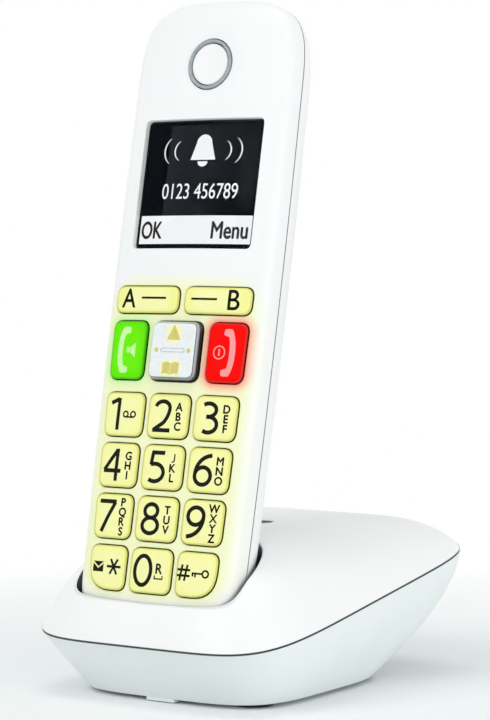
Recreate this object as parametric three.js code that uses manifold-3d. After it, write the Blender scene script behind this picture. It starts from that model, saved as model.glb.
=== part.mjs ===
// Cordless phone with its charging base: a handset standing in the cradle well of a low base.
// Millimetres, +Z up. The origin is on the surface that the base stands on, under the middle of
// the base; X runs to the phone's right as seen from the front, and Y runs to the back.

import * as THREE from 'three';
import { mergeVertices } from 'three/addons/utils/BufferGeometryUtils.js';
import Module from 'manifold-3d';

const wasm = await Module();
wasm.setup();

// ---------------------------------------------------------------- driving dimensions: general
const GAP = 0.3; // clearance between neighbouring pieces
const OVERCUT = 4; // how far a cutting tool runs past the surface that it cuts
const MELD = 1; // how far two joined forms run into each other

// ---------------------------------------------------------------- driving dimensions: handset
// Inside the handset, X is across, Y is the depth behind the face and Z is the height along it.
const HANDSET_HALF_WIDTH = 26.2; // at the widest point
const HANDSET_DEPTH = 25;
const HANDSET_WALL = 1.8;
const HANDSET_SEAM = 8; // depth of the seam between the front and rear shells
const TOP_MARGIN = 18.6; // from the middle of the earpiece to the top
const WIDEST_AT = 0.57; // share of the length where the handset is widest
const END_NARROWING = 1.2; // how much narrower each side is at the bottom end
const TOP_CORNER = 25.5; // length of the rounded top corners along the handset
const BOTTOM_CORNER = 16;
const CORNER_POWER = 3.7; // squareness of the end corners
const CORNER_SHRINK = 0.6; // an inset outline's corners are shorter by this share of the inset
const FRONT_EDGE_WIDTH = 3.2; // soft edge between the face and the sides
const FRONT_EDGE_DEPTH = 5;
const REAR_TAPER = 16; // how far the rear shell draws in on each side
const REAR_DEPTH_POWER = 1.33; // how soon it starts to draw in behind the seam
const REAR_END_SHARE = 0.45; // the bottom end draws in by this share of the taper
const FACE_CROWN_RADIUS = 278; // the face bulges across its width
const CROWN_STEP = 6.5; // facet width of the crowned surfaces

// ---------------------------------------------------------------- driving dimensions: face
const KEY_PROUD = 0.7;
const KEY_FLANGE = 0.6; // width of the flange that keeps a key in the shell
const KEY_FLANGE_THICKNESS = 0.7;
const KEY_TRAVEL = 0.6;
const KEY_CORNER = 2.6;
const LOWEST_CORNER = 7; // outer lower corners of the bottom row
const KEYPAD_MARGIN_LOW = 5.6; // from the handset's side to the keys at the bottom row
const KEYPAD_MARGIN_HIGH = 3.9; // the same at the soft keys
const KEY_GUTTER = 1.8; // bare face between two digit keys
const MIDDLE_KEY_HALF_WIDTH = 6.65;
const DIGIT_ROW_LOW = 10.9; // bottom edge of the lowest digit row
const DIGIT_ROW_PITCH = 14;
const DIGIT_KEY_HEIGHT = 12;
const CALL_ROW_GAP = 3.7; // bare face between the digits and the call row
const CALL_KEY_HEIGHT = 16.2;
const CALL_KEY_GUTTER = 2.45; // bare face beside the navigation key
const NAV_KEY_HALF_WIDTH = 7.85;
const NAV_KEY_PROUD = 2.2;
const SOFT_ROW_GAP = 2.3; // bare face between the call row and the soft keys
const SOFT_KEY_HEIGHT = 7.4;
const SOFT_KEY_INNER = 1; // half the bare face between the soft keys
const NAME_BAND = 11; // bare face between the soft keys and the window
const WINDOW_HEIGHT = 35.6;
const WINDOW_MARGIN = 6.9; // from the handset's side to the window
const WINDOW_CORNER = 1.4;
const LENS_RECESS = 0.15;
const LENS_BACK = 1.6;
const DISPLAY_THICKNESS = 2.2;
const FRAME_RIM = 1.8;
const EARPIECE_RISE = 15.7; // from the window's top to the middle of the earpiece
const EARPIECE_RADIUS = 7;
const EARPIECE_RING_WIDTH = 0.9;
const RING_PROUD = 0.25;
const RING_ROUNDING = 0.3; // height of the ring's rounded front
const CAP_RECESS = 0.1;

// ---------------------------------------------------------------- driving dimensions: inside
const MAT_CLEARANCE = 0.2; // left between a pressed key and the mat
const MAT_THICKNESS = 1.6;
const MAT_TOP_CORNER = 2;
const BOARD_THICKNESS = 1;
const BOARD_MARGIN = 4.8; // from the handset's side to the board
const BOARD_LOW = 9.4;
const BOARD_TOP_MARGIN = 9.4;
const BOARD_LOW_CORNER = 8;
const BOARD_HIGH_CORNER = 13;
const SPEAKER_RADIUS = 7.4;
const SPEAKER_THICKNESS = 2.9;
const MIC_RADIUS = 2;
const MIC_THICKNESS = 2;
const MIC_HOLE_RADIUS = 0.7;
const RINGER_RADIUS = 9.5;
const RINGER_THICKNESS = 4.5;
const RINGER_CLEARANCE = 0.6; // the rear wall draws in beside the ringer
const RINGER_RISE = 24; // from the battery cover's top to the middle of the ringer
const GRILLE_SLOTS = 5;
const GRILLE_PITCH = 2.8;
const GRILLE_SLOT_HALF_HEIGHT = 0.55;
const GRILLE_CORNER = 0.5;
const GRILLE_HALF_WIDTH = 6;
const GRILLE_NARROWING = 0.9; // each slot away from the middle is this much shorter at each end
const HANDSET_ANTENNA_HALF_WIDTH = 12;
const HANDSET_ANTENNA_SIZE = new THREE.Vector2(2, 5); // depth and height
const HANDSET_ANTENNA_DROP = 11; // from the board's top
const CELL_RADIUS = 5.25; // AAA cell
const CELL_LENGTH = 44.5;
const CELL_EDGE = 0.5;
const CELL_NUB_RADIUS = 1.9;
const CELL_NUB_HEIGHT = 0.8;
const CELL_CLEARANCE = 0.6; // between the two cells
const BAY_WALL = 1.2;
const SPRING_LENGTH = 5.2;
const LEAF_HALF_WIDTH = 2;
const LEAF_REACH = 3.5; // half the length of the leaf's foot
const LEAF_TIP = 2; // half the length of its bowed end
const PLATE_THICKNESS = 0.5;
const PLATE_REACH = 3.5; // half its depth
const BAY_TO_SCREWS = 9.2; // from the bay's top to the middle of the case screws
const COVER_BELOW_BAY = 5;
const COVER_ABOVE_SCREWS = 7.4;
const COVER_SIDE = 3.7; // from the bay's inside to the cover's edge
const COVER_THICKNESS = 1.8;
const COVER_CORNER = 4;
const COVER_BED_RIM = 1.2;
const NOTCH_HALF_WIDTH = 5;
const NOTCH_HEIGHT = 1.6;
const NOTCH_INSET = 1.4; // from the cover's top edge
const NOTCH_CORNER = 0.7;
const NOTCH_DEPTH = 0.7;
const CASE_SCREW_X = 12.6;
const CASE_SCREW_RISE = 4.1; // above the soft keys
const SCREW_RADIUS = 1.1;
const SCREW_HEAD_RADIUS = 2.2;
const SCREW_HEAD_THICKNESS = 1.4;
const SCREW_SLOT_HALF = new THREE.Vector2(1.4, 0.3);
const SCREW_SLOT_DEPTH = 0.6;
const BOSS_WALL = 1.3;
const PILOT_COVER = 1; // left between a screw's pilot hole and the face's wall

// ---------------------------------------------------------------- driving dimensions: base
const BASE_HALF_WIDTH = 44.53; // at mid-depth
const BASE_HALF_DEPTH = 53.4;
const BASE_TAPER = 0.077; // the base widens to the back by this share
const FRONT_POWER = 5.44; // squareness of the outline's front and rear corners
const REAR_POWER = 6.11;
const SEAM_FRONT = 16.4; // height of the base's seam at the front
const SEAM_SLOPE = 0.1943;
const DOME_FRONT = 36.8; // rise of the top shell above the seam: front, middle, rear
const DOME_MIDDLE = 17.25;
const DOME_REAR = 19.8;
const DOME_BOW_POWER = 4; // flatness of the rise along the middle
const DOME_POWER = 4; // flatness of the top from its middle to its rim
const BASE_WALL = 2;
const FLOOR_HEIGHT = 1.2;
const FLOOR_SIDE_MARGIN = 11.93; // how far the flat floor lies inside the seam outline
const FLOOR_FRONT_MARGIN = 11;
const FLOOR_REAR_MARGIN = 25.3;
const FLOOR_POWER = 4.2;
const FLARE_FRONT = 0.95; // how soon the bottom shell flares out above the floor: 1 is straight
const FLARE_REAR = 1.85;
const FOOT_RADIUS = 5.5;
const FOOT_SINK = 0.5;
const FOOT_INSET = new THREE.Vector2(9.6, 11.5); // from the floor's sides and ends
const TAB_HALF_WIDTH = 4.7;
const TAB_DEPTH = 3.6;
const TAB_DROP = 0.9;
const BASE_BOARD_SIDE = 9.2; // from the floor's edge to the board
const BASE_BOARD_END = 7.6;
const BASE_BOARD_HEIGHT = 5;
const BASE_BOARD_THICKNESS = 1.6;
const BASE_BOARD_CORNER = 2;
const POST_RADIUS = 2.4;
const POST_INSET = 4;
const REAR_POST_INSET = 15.1; // leaves room for the sockets behind the posts
const BASE_SCREW_INSET = new THREE.Vector2(6.2, 24.1);
const BASE_HEAD_THICKNESS = 0.8;
const BASE_HEAD_SINK = 1; // depth of the recess that takes a screw's head
const BASE_SLOT_DEPTH = 0.3;
const BASE_SCREW_BITE = 8; // length of the shank inside the boss
const BASE_BOSS_WALL = 1.9;

// ---------------------------------------------------------------- driving dimensions: cradle
const LEAN = THREE.MathUtils.degToRad(11.52); // the handset leans back by this angle
const FOOT_SET_BACK = 3.92; // from the base's front to the bottom end of the face
const FOOT_HEIGHT = 19.46;
const WELL_SIDE_GAP = 0.5;
const WELL_FRONT_GAP = 0.6;
const WELL_REAR_GAP = 0.8;
const WELL_FLOOR_GAP = 0.4;
const WELL_FRONT_POWER = 5; // squareness of the well's front corners
const CONTACT_X = 12;
const CONTACT_DEPTH = 11.2; // centre of the charge contacts, behind the face
const PAD_WIDTH = 4.4;
const PAD_DEPTH = 4;
const PAD_RECESS = 0.7;
const PAD_HEIGHT = 2.4;
const PIN_WIDTH = 2.6;
const PIN_CORNER = 0.6;
const PIN_FLANGE = 0.8;
const PIN_FLANGE_THICKNESS = 1.8;

// ---------------------------------------------------------------- driving dimensions: sockets
const NICHE_SET_BACK = 2.1; // from the floor's rear edge to the sockets' faces
const NICHE_HALF_WIDTH = 17;
const NICHE_LOW = 4.4;
const NICHE_HIGH = 18;
const NICHE_WALL = 1.6;
const SOCKET_X = 8;
const SOCKET_DEPTH = 12;
const SOCKET_WALL = 1.4;
const SOCKET_LIFT = 7; // bottom of the socket housings
const LINE_OPENING = new THREE.Vector2(9.8, 6.8);
const POWER_OPENING = new THREE.Vector2(7.6, 6);
const LATCH_HALF_WIDTH = 1.8;
const LATCH_DEPTH = 5;

// ---------------------------------------------------------------- driving dimensions: paging key
const PAGING_SET_BACK = 56.58; // behind the bottom end of the handset's face
const PAGING_RADIUS = 3.3;
const PAGING_SINK = 0.5;
const PAGING_FLANGE = 1.2;
const PAGING_FLANGE_THICKNESS = 1.2;
const PAGING_STEM_RADIUS = 1.6;
const PAGING_TRAVEL = 0.6;
const SWITCH_HEIGHT = 2.4;
const SWITCH_HALF_WIDTH = 3;
const ANTENNA_HALF_WIDTH = 13;
const ANTENNA_THICKNESS = 1;
const ANTENNA_INSET = 2; // from the board's front edge
const ANTENNA_HEIGHT = 4;

// ---------------------------------------------------------------- derived: up the handset's face
const CALL_ROW_LOW = DIGIT_ROW_LOW + 3 * DIGIT_ROW_PITCH + DIGIT_KEY_HEIGHT + CALL_ROW_GAP;
const CALL_ROW_HIGH = CALL_ROW_LOW + CALL_KEY_HEIGHT;
const SOFT_ROW_LOW = CALL_ROW_HIGH + SOFT_ROW_GAP;
const SOFT_ROW_HIGH = SOFT_ROW_LOW + SOFT_KEY_HEIGHT;
const WINDOW_LOW = SOFT_ROW_HIGH + NAME_BAND;
const WINDOW_HIGH = WINDOW_LOW + WINDOW_HEIGHT;
const WINDOW_HALF_WIDTH = HANDSET_HALF_WIDTH - WINDOW_MARGIN;
const KEYPAD_HALF_WIDTH_LOW = HANDSET_HALF_WIDTH - KEYPAD_MARGIN_LOW;
const KEYPAD_HALF_WIDTH_HIGH = HANDSET_HALF_WIDTH - KEYPAD_MARGIN_HIGH;
const CALL_KEY_INNER = NAV_KEY_HALF_WIDTH + CALL_KEY_GUTTER;
const EARPIECE_HEIGHT = WINDOW_HIGH + EARPIECE_RISE;
const HANDSET_LENGTH = EARPIECE_HEIGHT + TOP_MARGIN;
const WIDEST_HEIGHT = HANDSET_LENGTH * WIDEST_AT;
const MIC_HEIGHT = DIGIT_ROW_LOW - KEY_FLANGE - GAP - MIC_RADIUS;

// ---------------------------------------------------------------- derived: through its depth
const FLANGE_FRONT = HANDSET_WALL + GAP;
const FLANGE_BACK = FLANGE_FRONT + KEY_FLANGE_THICKNESS;
const MAT_FRONT = FLANGE_BACK + KEY_TRAVEL + MAT_CLEARANCE;
const MAT_BACK = MAT_FRONT + MAT_THICKNESS;
const BOARD_FRONT = MAT_BACK + GAP;
const BOARD_BACK = BOARD_FRONT + BOARD_THICKNESS;
const BOARD_HALF_WIDTH = HANDSET_HALF_WIDTH - BOARD_MARGIN;
const BOARD_HIGH = HANDSET_LENGTH - BOARD_TOP_MARGIN;
const PILOT_FRONT = HANDSET_WALL + PILOT_COVER;
const COVER_INNER = HANDSET_DEPTH - COVER_THICKNESS;
const COVER_BED = COVER_INNER - GAP;
const CELL_DEPTH = COVER_BED - GAP - CELL_RADIUS; // centre of the cells
const BAY_FLOOR = CELL_DEPTH - CELL_RADIUS - GAP;

// ---------------------------------------------------------------- derived: battery bay
const CELL_X = CELL_RADIUS + CELL_CLEARANCE / 2;
const BAY_HALF_WIDTH = CELL_X + CELL_RADIUS + GAP;
const CASE_SCREW_HEIGHT = SOFT_ROW_HIGH + CASE_SCREW_RISE;
const BAY_HIGH = CASE_SCREW_HEIGHT - BAY_TO_SCREWS;
const CELL_LOW = BAY_HIGH - CELL_LENGTH - PLATE_THICKNESS - 2 * GAP;
const BAY_LOW = CELL_LOW - SPRING_LENGTH - 2 * GAP;
const COVER_LOW = BAY_LOW - COVER_BELOW_BAY;
const COVER_HIGH = CASE_SCREW_HEIGHT + COVER_ABOVE_SCREWS;
const COVER_HALF_WIDTH = BAY_HALF_WIDTH + COVER_SIDE;
const RINGER_HEIGHT = COVER_HIGH + RINGER_RISE;
const BOSS_RADIUS = SCREW_RADIUS + BOSS_WALL;
const CASE_SCREWS = [-CASE_SCREW_X, CASE_SCREW_X];

// ---------------------------------------------------------------- derived: base and cradle
const FLOOR_HALF_WIDTH = BASE_HALF_WIDTH - FLOOR_SIDE_MARGIN;
const FLOOR_FRONT = -BASE_HALF_DEPTH + FLOOR_FRONT_MARGIN;
const FLOOR_REAR = BASE_HALF_DEPTH - FLOOR_REAR_MARGIN;
const HANDSET_FOOT = new THREE.Vector3(0, -BASE_HALF_DEPTH + FOOT_SET_BACK, FOOT_HEIGHT);
const WELL_HALF_WIDTH = HANDSET_HALF_WIDTH + WELL_SIDE_GAP;
const NICHE_FACE = FLOOR_REAR - NICHE_SET_BACK;
const BASE_BOARD_HALF_WIDTH = FLOOR_HALF_WIDTH - BASE_BOARD_SIDE;
const BASE_BOARD_FRONT = FLOOR_FRONT + BASE_BOARD_END;
const BASE_BOARD_REAR = NICHE_FACE - NICHE_WALL - GAP;
const BOARD_TOP = BASE_BOARD_HEIGHT + BASE_BOARD_THICKNESS;
const SWITCH_TOP = BOARD_TOP + GAP + SWITCH_HEIGHT;
const BOSS_FOOT = FLOOR_HEIGHT + BASE_WALL + GAP;
const BASE_SCREW_X = FLOOR_HALF_WIDTH - BASE_SCREW_INSET.x;
const BASE_SCREW_Y = FLOOR_REAR - BASE_SCREW_INSET.y;
const BASE_SCREWS = [-BASE_SCREW_X, BASE_SCREW_X];
const CONTACTS = [-CONTACT_X, CONTACT_X];
const PAGING_Y = HANDSET_FOOT.y + PAGING_SET_BACK;

// ---------------------------------------------------------------- materials
function material(color, roughness, metalness = 0) {
  return new THREE.MeshStandardMaterial({ color, roughness, metalness });
}

const shellWhite = () => material(0xf1f3f2, 0.3);
const keyCream = () => material(0xf6ee9c, 0.45);
const keyGreen = () => material(0x5fc628, 0.4);
const keyRed = () => material(0xe02319, 0.4);
const keySilver = () => material(0xc9cccb, 0.35);
const boardGreen = () => material(0x1f5a38, 0.6);
const blackPlastic = () => material(0x17181a, 0.5);
const springSteel = () => material(0xb9bcc0, 0.35, 1);
const goldPlate = () => material(0xd0a850, 0.3, 1);
const rubberBlack = () => material(0x1b1b1c, 0.9);

// ---------------------------------------------------------------- solids
// The same skin with one vertex at each point.
function welded(geometry) {
  const bare = geometry.clone();
  bare.deleteAttribute('normal');
  bare.deleteAttribute('uv');
  return mergeVertices(bare, 1e-4);
}

function solid(geometry) {
  const merged = welded(geometry);
  return new wasm.Manifold(new wasm.Mesh({
    numProp: 3,
    vertProperties: new Float32Array(merged.attributes.position.array),
    triVerts: new Uint32Array(merged.index.array),
  }));
}

function toGeometry(body) {
  const mesh = body.getMesh();
  const geometry = new THREE.BufferGeometry();
  geometry.setAttribute('position', new THREE.Float32BufferAttribute(mesh.vertProperties, 3));
  geometry.setIndex([...mesh.triVerts]);
  geometry.computeVertexNormals();
  return geometry;
}

function addTo(group, name, body, look) {
  const mesh = new THREE.Mesh(toGeometry(body), look);
  mesh.name = name;
  group.add(mesh);
}

const joined = (...bodies) => bodies.reduce((sum, body) => sum.add(body));
const cut = (body, ...tools) => tools.reduce((rest, tool) => rest.subtract(tool), body);

function middleOf(ring) {
  return ring.reduce((sum, p) => sum.add(p), new THREE.Vector3()).divideScalar(ring.length);
}

// A closed skin over a stack of rings with the same number of points each.
function loft(rings) {
  const count = rings[0].length;
  const points = rings.flat();
  const index = [];
  for (let r = 0; r + 1 < rings.length; r += 1) {
    for (let i = 0; i < count; i += 1) {
      const a = r * count + i;
      const b = r * count + ((i + 1) % count);
      index.push(a, b, b + count, a, b + count, a + count);
    }
  }
  const last = (rings.length - 1) * count;
  points.push(middleOf(rings[0]), middleOf(rings[rings.length - 1]));
  for (let i = 0; i < count; i += 1) {
    const next = (i + 1) % count;
    index.push(points.length - 2, next, i);
    index.push(points.length - 1, last + i, last + next);
  }
  const geometry = new THREE.BufferGeometry().setFromPoints(points);
  geometry.setIndex(index);
  return solid(turnOutward(geometry));
}

// Reverses every face when the skin encloses a negative volume.
function turnOutward(geometry) {
  const position = geometry.attributes.position;
  const index = geometry.index.array;
  const corner = (i) => new THREE.Vector3().fromBufferAttribute(position, index[i]);
  let volume = 0;
  for (let i = 0; i < index.length; i += 3) {
    volume += corner(i).dot(corner(i + 1).cross(corner(i + 2)));
  }
  if (volume < 0) geometry.setIndex([...index].reverse());
  return geometry;
}

function extruded(shape, low, high, curveSegments = 3) {
  const options = { depth: high - low, bevelEnabled: false, curveSegments };
  return new THREE.ExtrudeGeometry(shape, options).translate(0, 0, low);
}

const prism = (shape, low, high, curveSegments) => solid(extruded(shape, low, high, curveSegments));

// A prism with its outline in the plane of the handset's face (X, Z) and its length along depth Y.
function facePrism(shape, front, back, curveSegments) {
  return solid(extruded(shape, -back, -front, curveSegments).rotateX(Math.PI / 2));
}

function block(x, y, z) {
  const box = new THREE.BoxGeometry(x[1] - x[0], y[1] - y[0], z[1] - z[0]);
  return solid(box.translate((x[0] + x[1]) / 2, (y[0] + y[1]) / 2, (z[0] + z[1]) / 2));
}

function upright(radius, x, y, low, high, sides = 16) {
  const rod = new THREE.CylinderGeometry(radius, radius, high - low, sides);
  return solid(rod.rotateX(Math.PI / 2).translate(x, y, (low + high) / 2));
}

// A disc or rod along the handset's depth.
function inward(radius, x, z, front, back, sides = 16) {
  const rod = new THREE.CylinderGeometry(radius, radius, back - front, sides);
  return solid(rod.translate(x, (front + back) / 2, z));
}

// A shape with rounded corners; each corner is [x, y, radius].
function rounded(corners) {
  const shape = new THREE.Shape();
  const towards = (from, to, distance) => {
    const step = new THREE.Vector2(to[0] - from[0], to[1] - from[1]).setLength(distance);
    return [from[0] + step.x, from[1] + step.y];
  };
  corners.forEach((corner, i) => {
    const before = corners[(i + corners.length - 1) % corners.length];
    const after = corners[(i + 1) % corners.length];
    const enter = towards(corner, before, corner[2]);
    const leave = towards(corner, after, corner[2]);
    if (i === 0) shape.moveTo(...enter);
    else shape.lineTo(...enter);
    shape.quadraticCurveTo(corner[0], corner[1], ...leave);
  });
  shape.closePath();
  return shape;
}

function roundedBox(x0, x1, y0, y1, radius) {
  return rounded([[x0, y0, radius], [x1, y0, radius], [x1, y1, radius], [x0, y1, radius]]);
}

const signedPower = (value, power) => Math.sign(value) * Math.abs(value) ** power;

// ---------------------------------------------------------------- handset: outer form
function handsetHalfWidth(height) {
  const away = (height - WIDEST_HEIGHT) / WIDEST_HEIGHT;
  return HANDSET_HALF_WIDTH - END_NARROWING * away * away;
}

// Outline of the handset, drawn in by an inset: a barrel-sided bar with superelliptic end corners.
function handsetOutline(inset, bottomInset, depthAt) {
  const low = bottomInset;
  const high = HANDSET_LENGTH - inset;
  const lowCorner = BOTTOM_CORNER - bottomInset * CORNER_SHRINK;
  const highCorner = TOP_CORNER - inset * CORNER_SHRINK;
  const right = [];
  const cornerSteps = 5;
  const bend = 2 / CORNER_POWER;
  const put = (spread, height) => right.push([(handsetHalfWidth(height) - inset) * spread, height]);
  for (let i = 0; i < cornerSteps; i += 1) {
    const turn = (i / cornerSteps) * (Math.PI / 2);
    put(Math.sin(turn) ** bend, low + lowCorner * (1 - Math.cos(turn) ** bend));
  }
  const sideSteps = 3;
  for (let i = 0; i <= sideSteps; i += 1) {
    const from = low + lowCorner;
    put(1, from + (high - highCorner - from) * (i / sideSteps));
  }
  for (let i = cornerSteps - 1; i >= 0; i -= 1) {
    const turn = (i / cornerSteps) * (Math.PI / 2);
    put(Math.sin(turn) ** bend, high - highCorner * (1 - Math.cos(turn) ** bend));
  }
  const left = right.slice(1, -1).reverse().map(([x, z]) => [-x, z]);
  return [...right, ...left].map(([x, z]) => new THREE.Vector3(x, depthAt(x), z));
}

const crownAt = (x) => (x * x) / (2 * FACE_CROWN_RADIUS);

// Rings of the front shell, from its crowned face to the flat seam plane.
function frontForm() {
  const rings = [];
  const rim = handsetOutline(FRONT_EDGE_WIDTH, FRONT_EDGE_WIDTH, crownAt);
  const middle = HANDSET_LENGTH / 2;
  for (const share of [0.02, 0.35, 0.7]) {
    const lengthShare = 1 - ((1 - share) * HANDSET_HALF_WIDTH) / middle;
    rings.push(rim.map((p) => {
      const x = p.x * share;
      return new THREE.Vector3(x, crownAt(x), middle + (p.z - middle) * lengthShare);
    }));
  }
  const edgeSteps = 4;
  for (let i = 0; i <= edgeSteps; i += 1) {
    const turn = (i / edgeSteps) * (Math.PI / 2);
    const inset = FRONT_EDGE_WIDTH * (1 - Math.sin(turn));
    const depth = FRONT_EDGE_DEPTH * (1 - Math.cos(turn));
    const flatten = 1 - depth / HANDSET_SEAM;
    rings.push(handsetOutline(inset, inset, (x) => depth + flatten * crownAt(x)));
  }
  rings.push(handsetOutline(0, 0, () => HANDSET_SEAM - GAP / 2));
  return loft(rings);
}

// The space inside the front shell: the wall's inner outline, up to the back of the crowned face.
function frontHollow() {
  const outline = handsetOutline(HANDSET_WALL, HANDSET_WALL, () => 0);
  const shape = new THREE.Shape(outline.map(({ x, z }) => new THREE.Vector2(x, z)));
  return facePrism(shape, 0, HANDSET_SEAM + OVERCUT, 1).intersect(behindCrown(HANDSET_WALL));
}

// Rings of the rear shell, from the seam plane to its flat back.
function rearRings(offset, startDepth, steps) {
  const rings = [];
  for (let i = 0; i <= steps; i += 1) {
    const turn = (i / steps) * (Math.PI / 2);
    const reach = HANDSET_DEPTH - offset - startDepth;
    const depth = startDepth + reach * Math.sin(turn) ** REAR_DEPTH_POWER;
    const taper = REAR_TAPER * (1 - Math.cos(turn));
    rings.push(handsetOutline(offset + taper, offset + taper * REAR_END_SHARE, () => depth));
  }
  return rings;
}

// Everything behind the crowned surface that lies at this depth on the centre line.
function behindCrown(depth) {
  const reach = HANDSET_HALF_WIDTH + CROWN_STEP;
  const strips = Math.ceil(reach / CROWN_STEP);
  const shape = new THREE.Shape();
  shape.moveTo(-strips * CROWN_STEP, HANDSET_DEPTH);
  for (let i = -strips; i <= strips; i += 1) {
    const x = i * CROWN_STEP;
    shape.lineTo(x, depth + crownAt(x));
  }
  shape.lineTo(strips * CROWN_STEP, HANDSET_DEPTH);
  shape.closePath();
  return prism(shape, -OVERCUT, HANDSET_LENGTH + OVERCUT, 1);
}

// ---------------------------------------------------------------- handset: key layout
function keypadHalfWidth(height) {
  const share = (height - DIGIT_ROW_LOW) / (SOFT_ROW_HIGH - DIGIT_ROW_LOW);
  return THREE.MathUtils.lerp(KEYPAD_HALF_WIDTH_LOW, KEYPAD_HALF_WIDTH_HIGH, share);
}

// Key outline from an inner edge to the keypad's slanted outer edge, on the side given by sign.
function sideKeyCorners(side, inner, low, high, lowCorner) {
  const corners = [
    [inner, low, KEY_CORNER],
    [keypadHalfWidth(low), low, lowCorner],
    [keypadHalfWidth(high), high, KEY_CORNER],
    [inner, high, KEY_CORNER],
  ];
  if (side > 0) return corners;
  return corners.reverse().map(([x, z, radius]) => [-x, z, radius]);
}

function middleKeyCorners(half, low, high) {
  return [
    [-half, low, KEY_CORNER],
    [half, low, KEY_CORNER],
    [half, high, KEY_CORNER],
    [-half, high, KEY_CORNER],
  ];
}

// The same outline grown on every side.
function grown(corners, by) {
  const centreX = corners.reduce((sum, corner) => sum + corner[0], 0) / corners.length;
  const centreZ = corners.reduce((sum, corner) => sum + corner[1], 0) / corners.length;
  return rounded(corners.map(([x, z, radius]) => [
    x + Math.sign(x - centreX) * by,
    z + Math.sign(z - centreZ) * by,
    radius + by,
  ]));
}

function keyLayout() {
  const keys = [];
  const add = (name, corners, look, proud = KEY_PROUD) => keys.push({ name, corners, proud, look });
  const side = (sign, inner, low, high, lowCorner = KEY_CORNER) => (
    sideKeyCorners(sign, inner, low, high, lowCorner)
  );
  add('key_soft_left', side(-1, SOFT_KEY_INNER, SOFT_ROW_LOW, SOFT_ROW_HIGH), keyCream());
  add('key_soft_right', side(1, SOFT_KEY_INNER, SOFT_ROW_LOW, SOFT_ROW_HIGH), keyCream());
  add('key_talk', side(-1, CALL_KEY_INNER, CALL_ROW_LOW, CALL_ROW_HIGH), keyGreen());
  add('key_end', side(1, CALL_KEY_INNER, CALL_ROW_LOW, CALL_ROW_HIGH), keyRed());
  const navigation = middleKeyCorners(NAV_KEY_HALF_WIDTH, CALL_ROW_LOW, CALL_ROW_HIGH);
  add('key_navigation', navigation, keySilver(), NAV_KEY_PROUD);
  const rows = [['star', '0', 'hash'], ['7', '8', '9'], ['4', '5', '6'], ['1', '2', '3']];
  rows.forEach((row, i) => {
    const low = DIGIT_ROW_LOW + i * DIGIT_ROW_PITCH;
    const high = low + DIGIT_KEY_HEIGHT;
    const inner = MIDDLE_KEY_HALF_WIDTH + KEY_GUTTER;
    const lowCorner = i === 0 ? LOWEST_CORNER : KEY_CORNER;
    add(`key_${row[0]}`, side(-1, inner, low, high, lowCorner), keyCream());
    add(`key_${row[1]}`, middleKeyCorners(MIDDLE_KEY_HALF_WIDTH, low, high), keyCream());
    add(`key_${row[2]}`, side(1, inner, low, high, lowCorner), keyCream());
  });
  return keys;
}

const KEYS = keyLayout();

function keyBody({ corners, proud }) {
  const cap = facePrism(grown(corners, 0), -OVERCUT, HANDSET_SEAM, 2).intersect(behindCrown(-proud));
  const flange = facePrism(grown(corners, KEY_FLANGE), 0, HANDSET_SEAM, 1);
  return cut(joined(cap, flange.intersect(behindCrown(FLANGE_FRONT))), behindCrown(FLANGE_BACK));
}

// ---------------------------------------------------------------- handset: shells
const windowShape = (grow) => roundedBox(
  -WINDOW_HALF_WIDTH - grow,
  WINDOW_HALF_WIDTH + grow,
  WINDOW_LOW - grow,
  WINDOW_HIGH + grow,
  WINDOW_CORNER + grow,
);

function handsetFrontShell() {
  let shell = cut(frontForm(), frontHollow());
  for (const x of CASE_SCREWS) {
    const boss = inward(BOSS_RADIUS, x, CASE_SCREW_HEIGHT, 0, HANDSET_SEAM - GAP / 2, 12);
    const pilot = inward(SCREW_RADIUS + GAP, x, CASE_SCREW_HEIGHT, PILOT_FRONT, HANDSET_DEPTH, 10);
    shell = cut(joined(shell, boss.intersect(behindCrown(HANDSET_WALL / 2))), pilot);
  }
  const holes = KEYS.map(({ corners }) => facePrism(grown(corners, GAP), -OVERCUT, HANDSET_SEAM, 2));
  const window = facePrism(windowShape(GAP), -OVERCUT, HANDSET_SEAM, 2);
  const earpiece = inward(EARPIECE_RADIUS + GAP, 0, EARPIECE_HEIGHT, -OVERCUT, FLANGE_BACK, 20);
  const mouthpiece = inward(MIC_HOLE_RADIUS, 0, MIC_HEIGHT, -OVERCUT, FLANGE_FRONT, 8);
  return cut(shell, ...holes, window, earpiece, mouthpiece);
}

// The two sockets in the rear shell's bottom end that hold the charge contacts.
function padSlot(x, grow) {
  const half = PAD_WIDTH / 2 + grow;
  const depth = [CONTACT_DEPTH - PAD_DEPTH / 2 - grow, CONTACT_DEPTH + PAD_DEPTH / 2 + grow];
  return block([x - half, x + half], depth, [-OVERCUT, PAD_RECESS + PAD_HEIGHT]);
}

const rearForm = () => loft(rearRings(0, HANDSET_SEAM + GAP / 2, 8));

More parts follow.
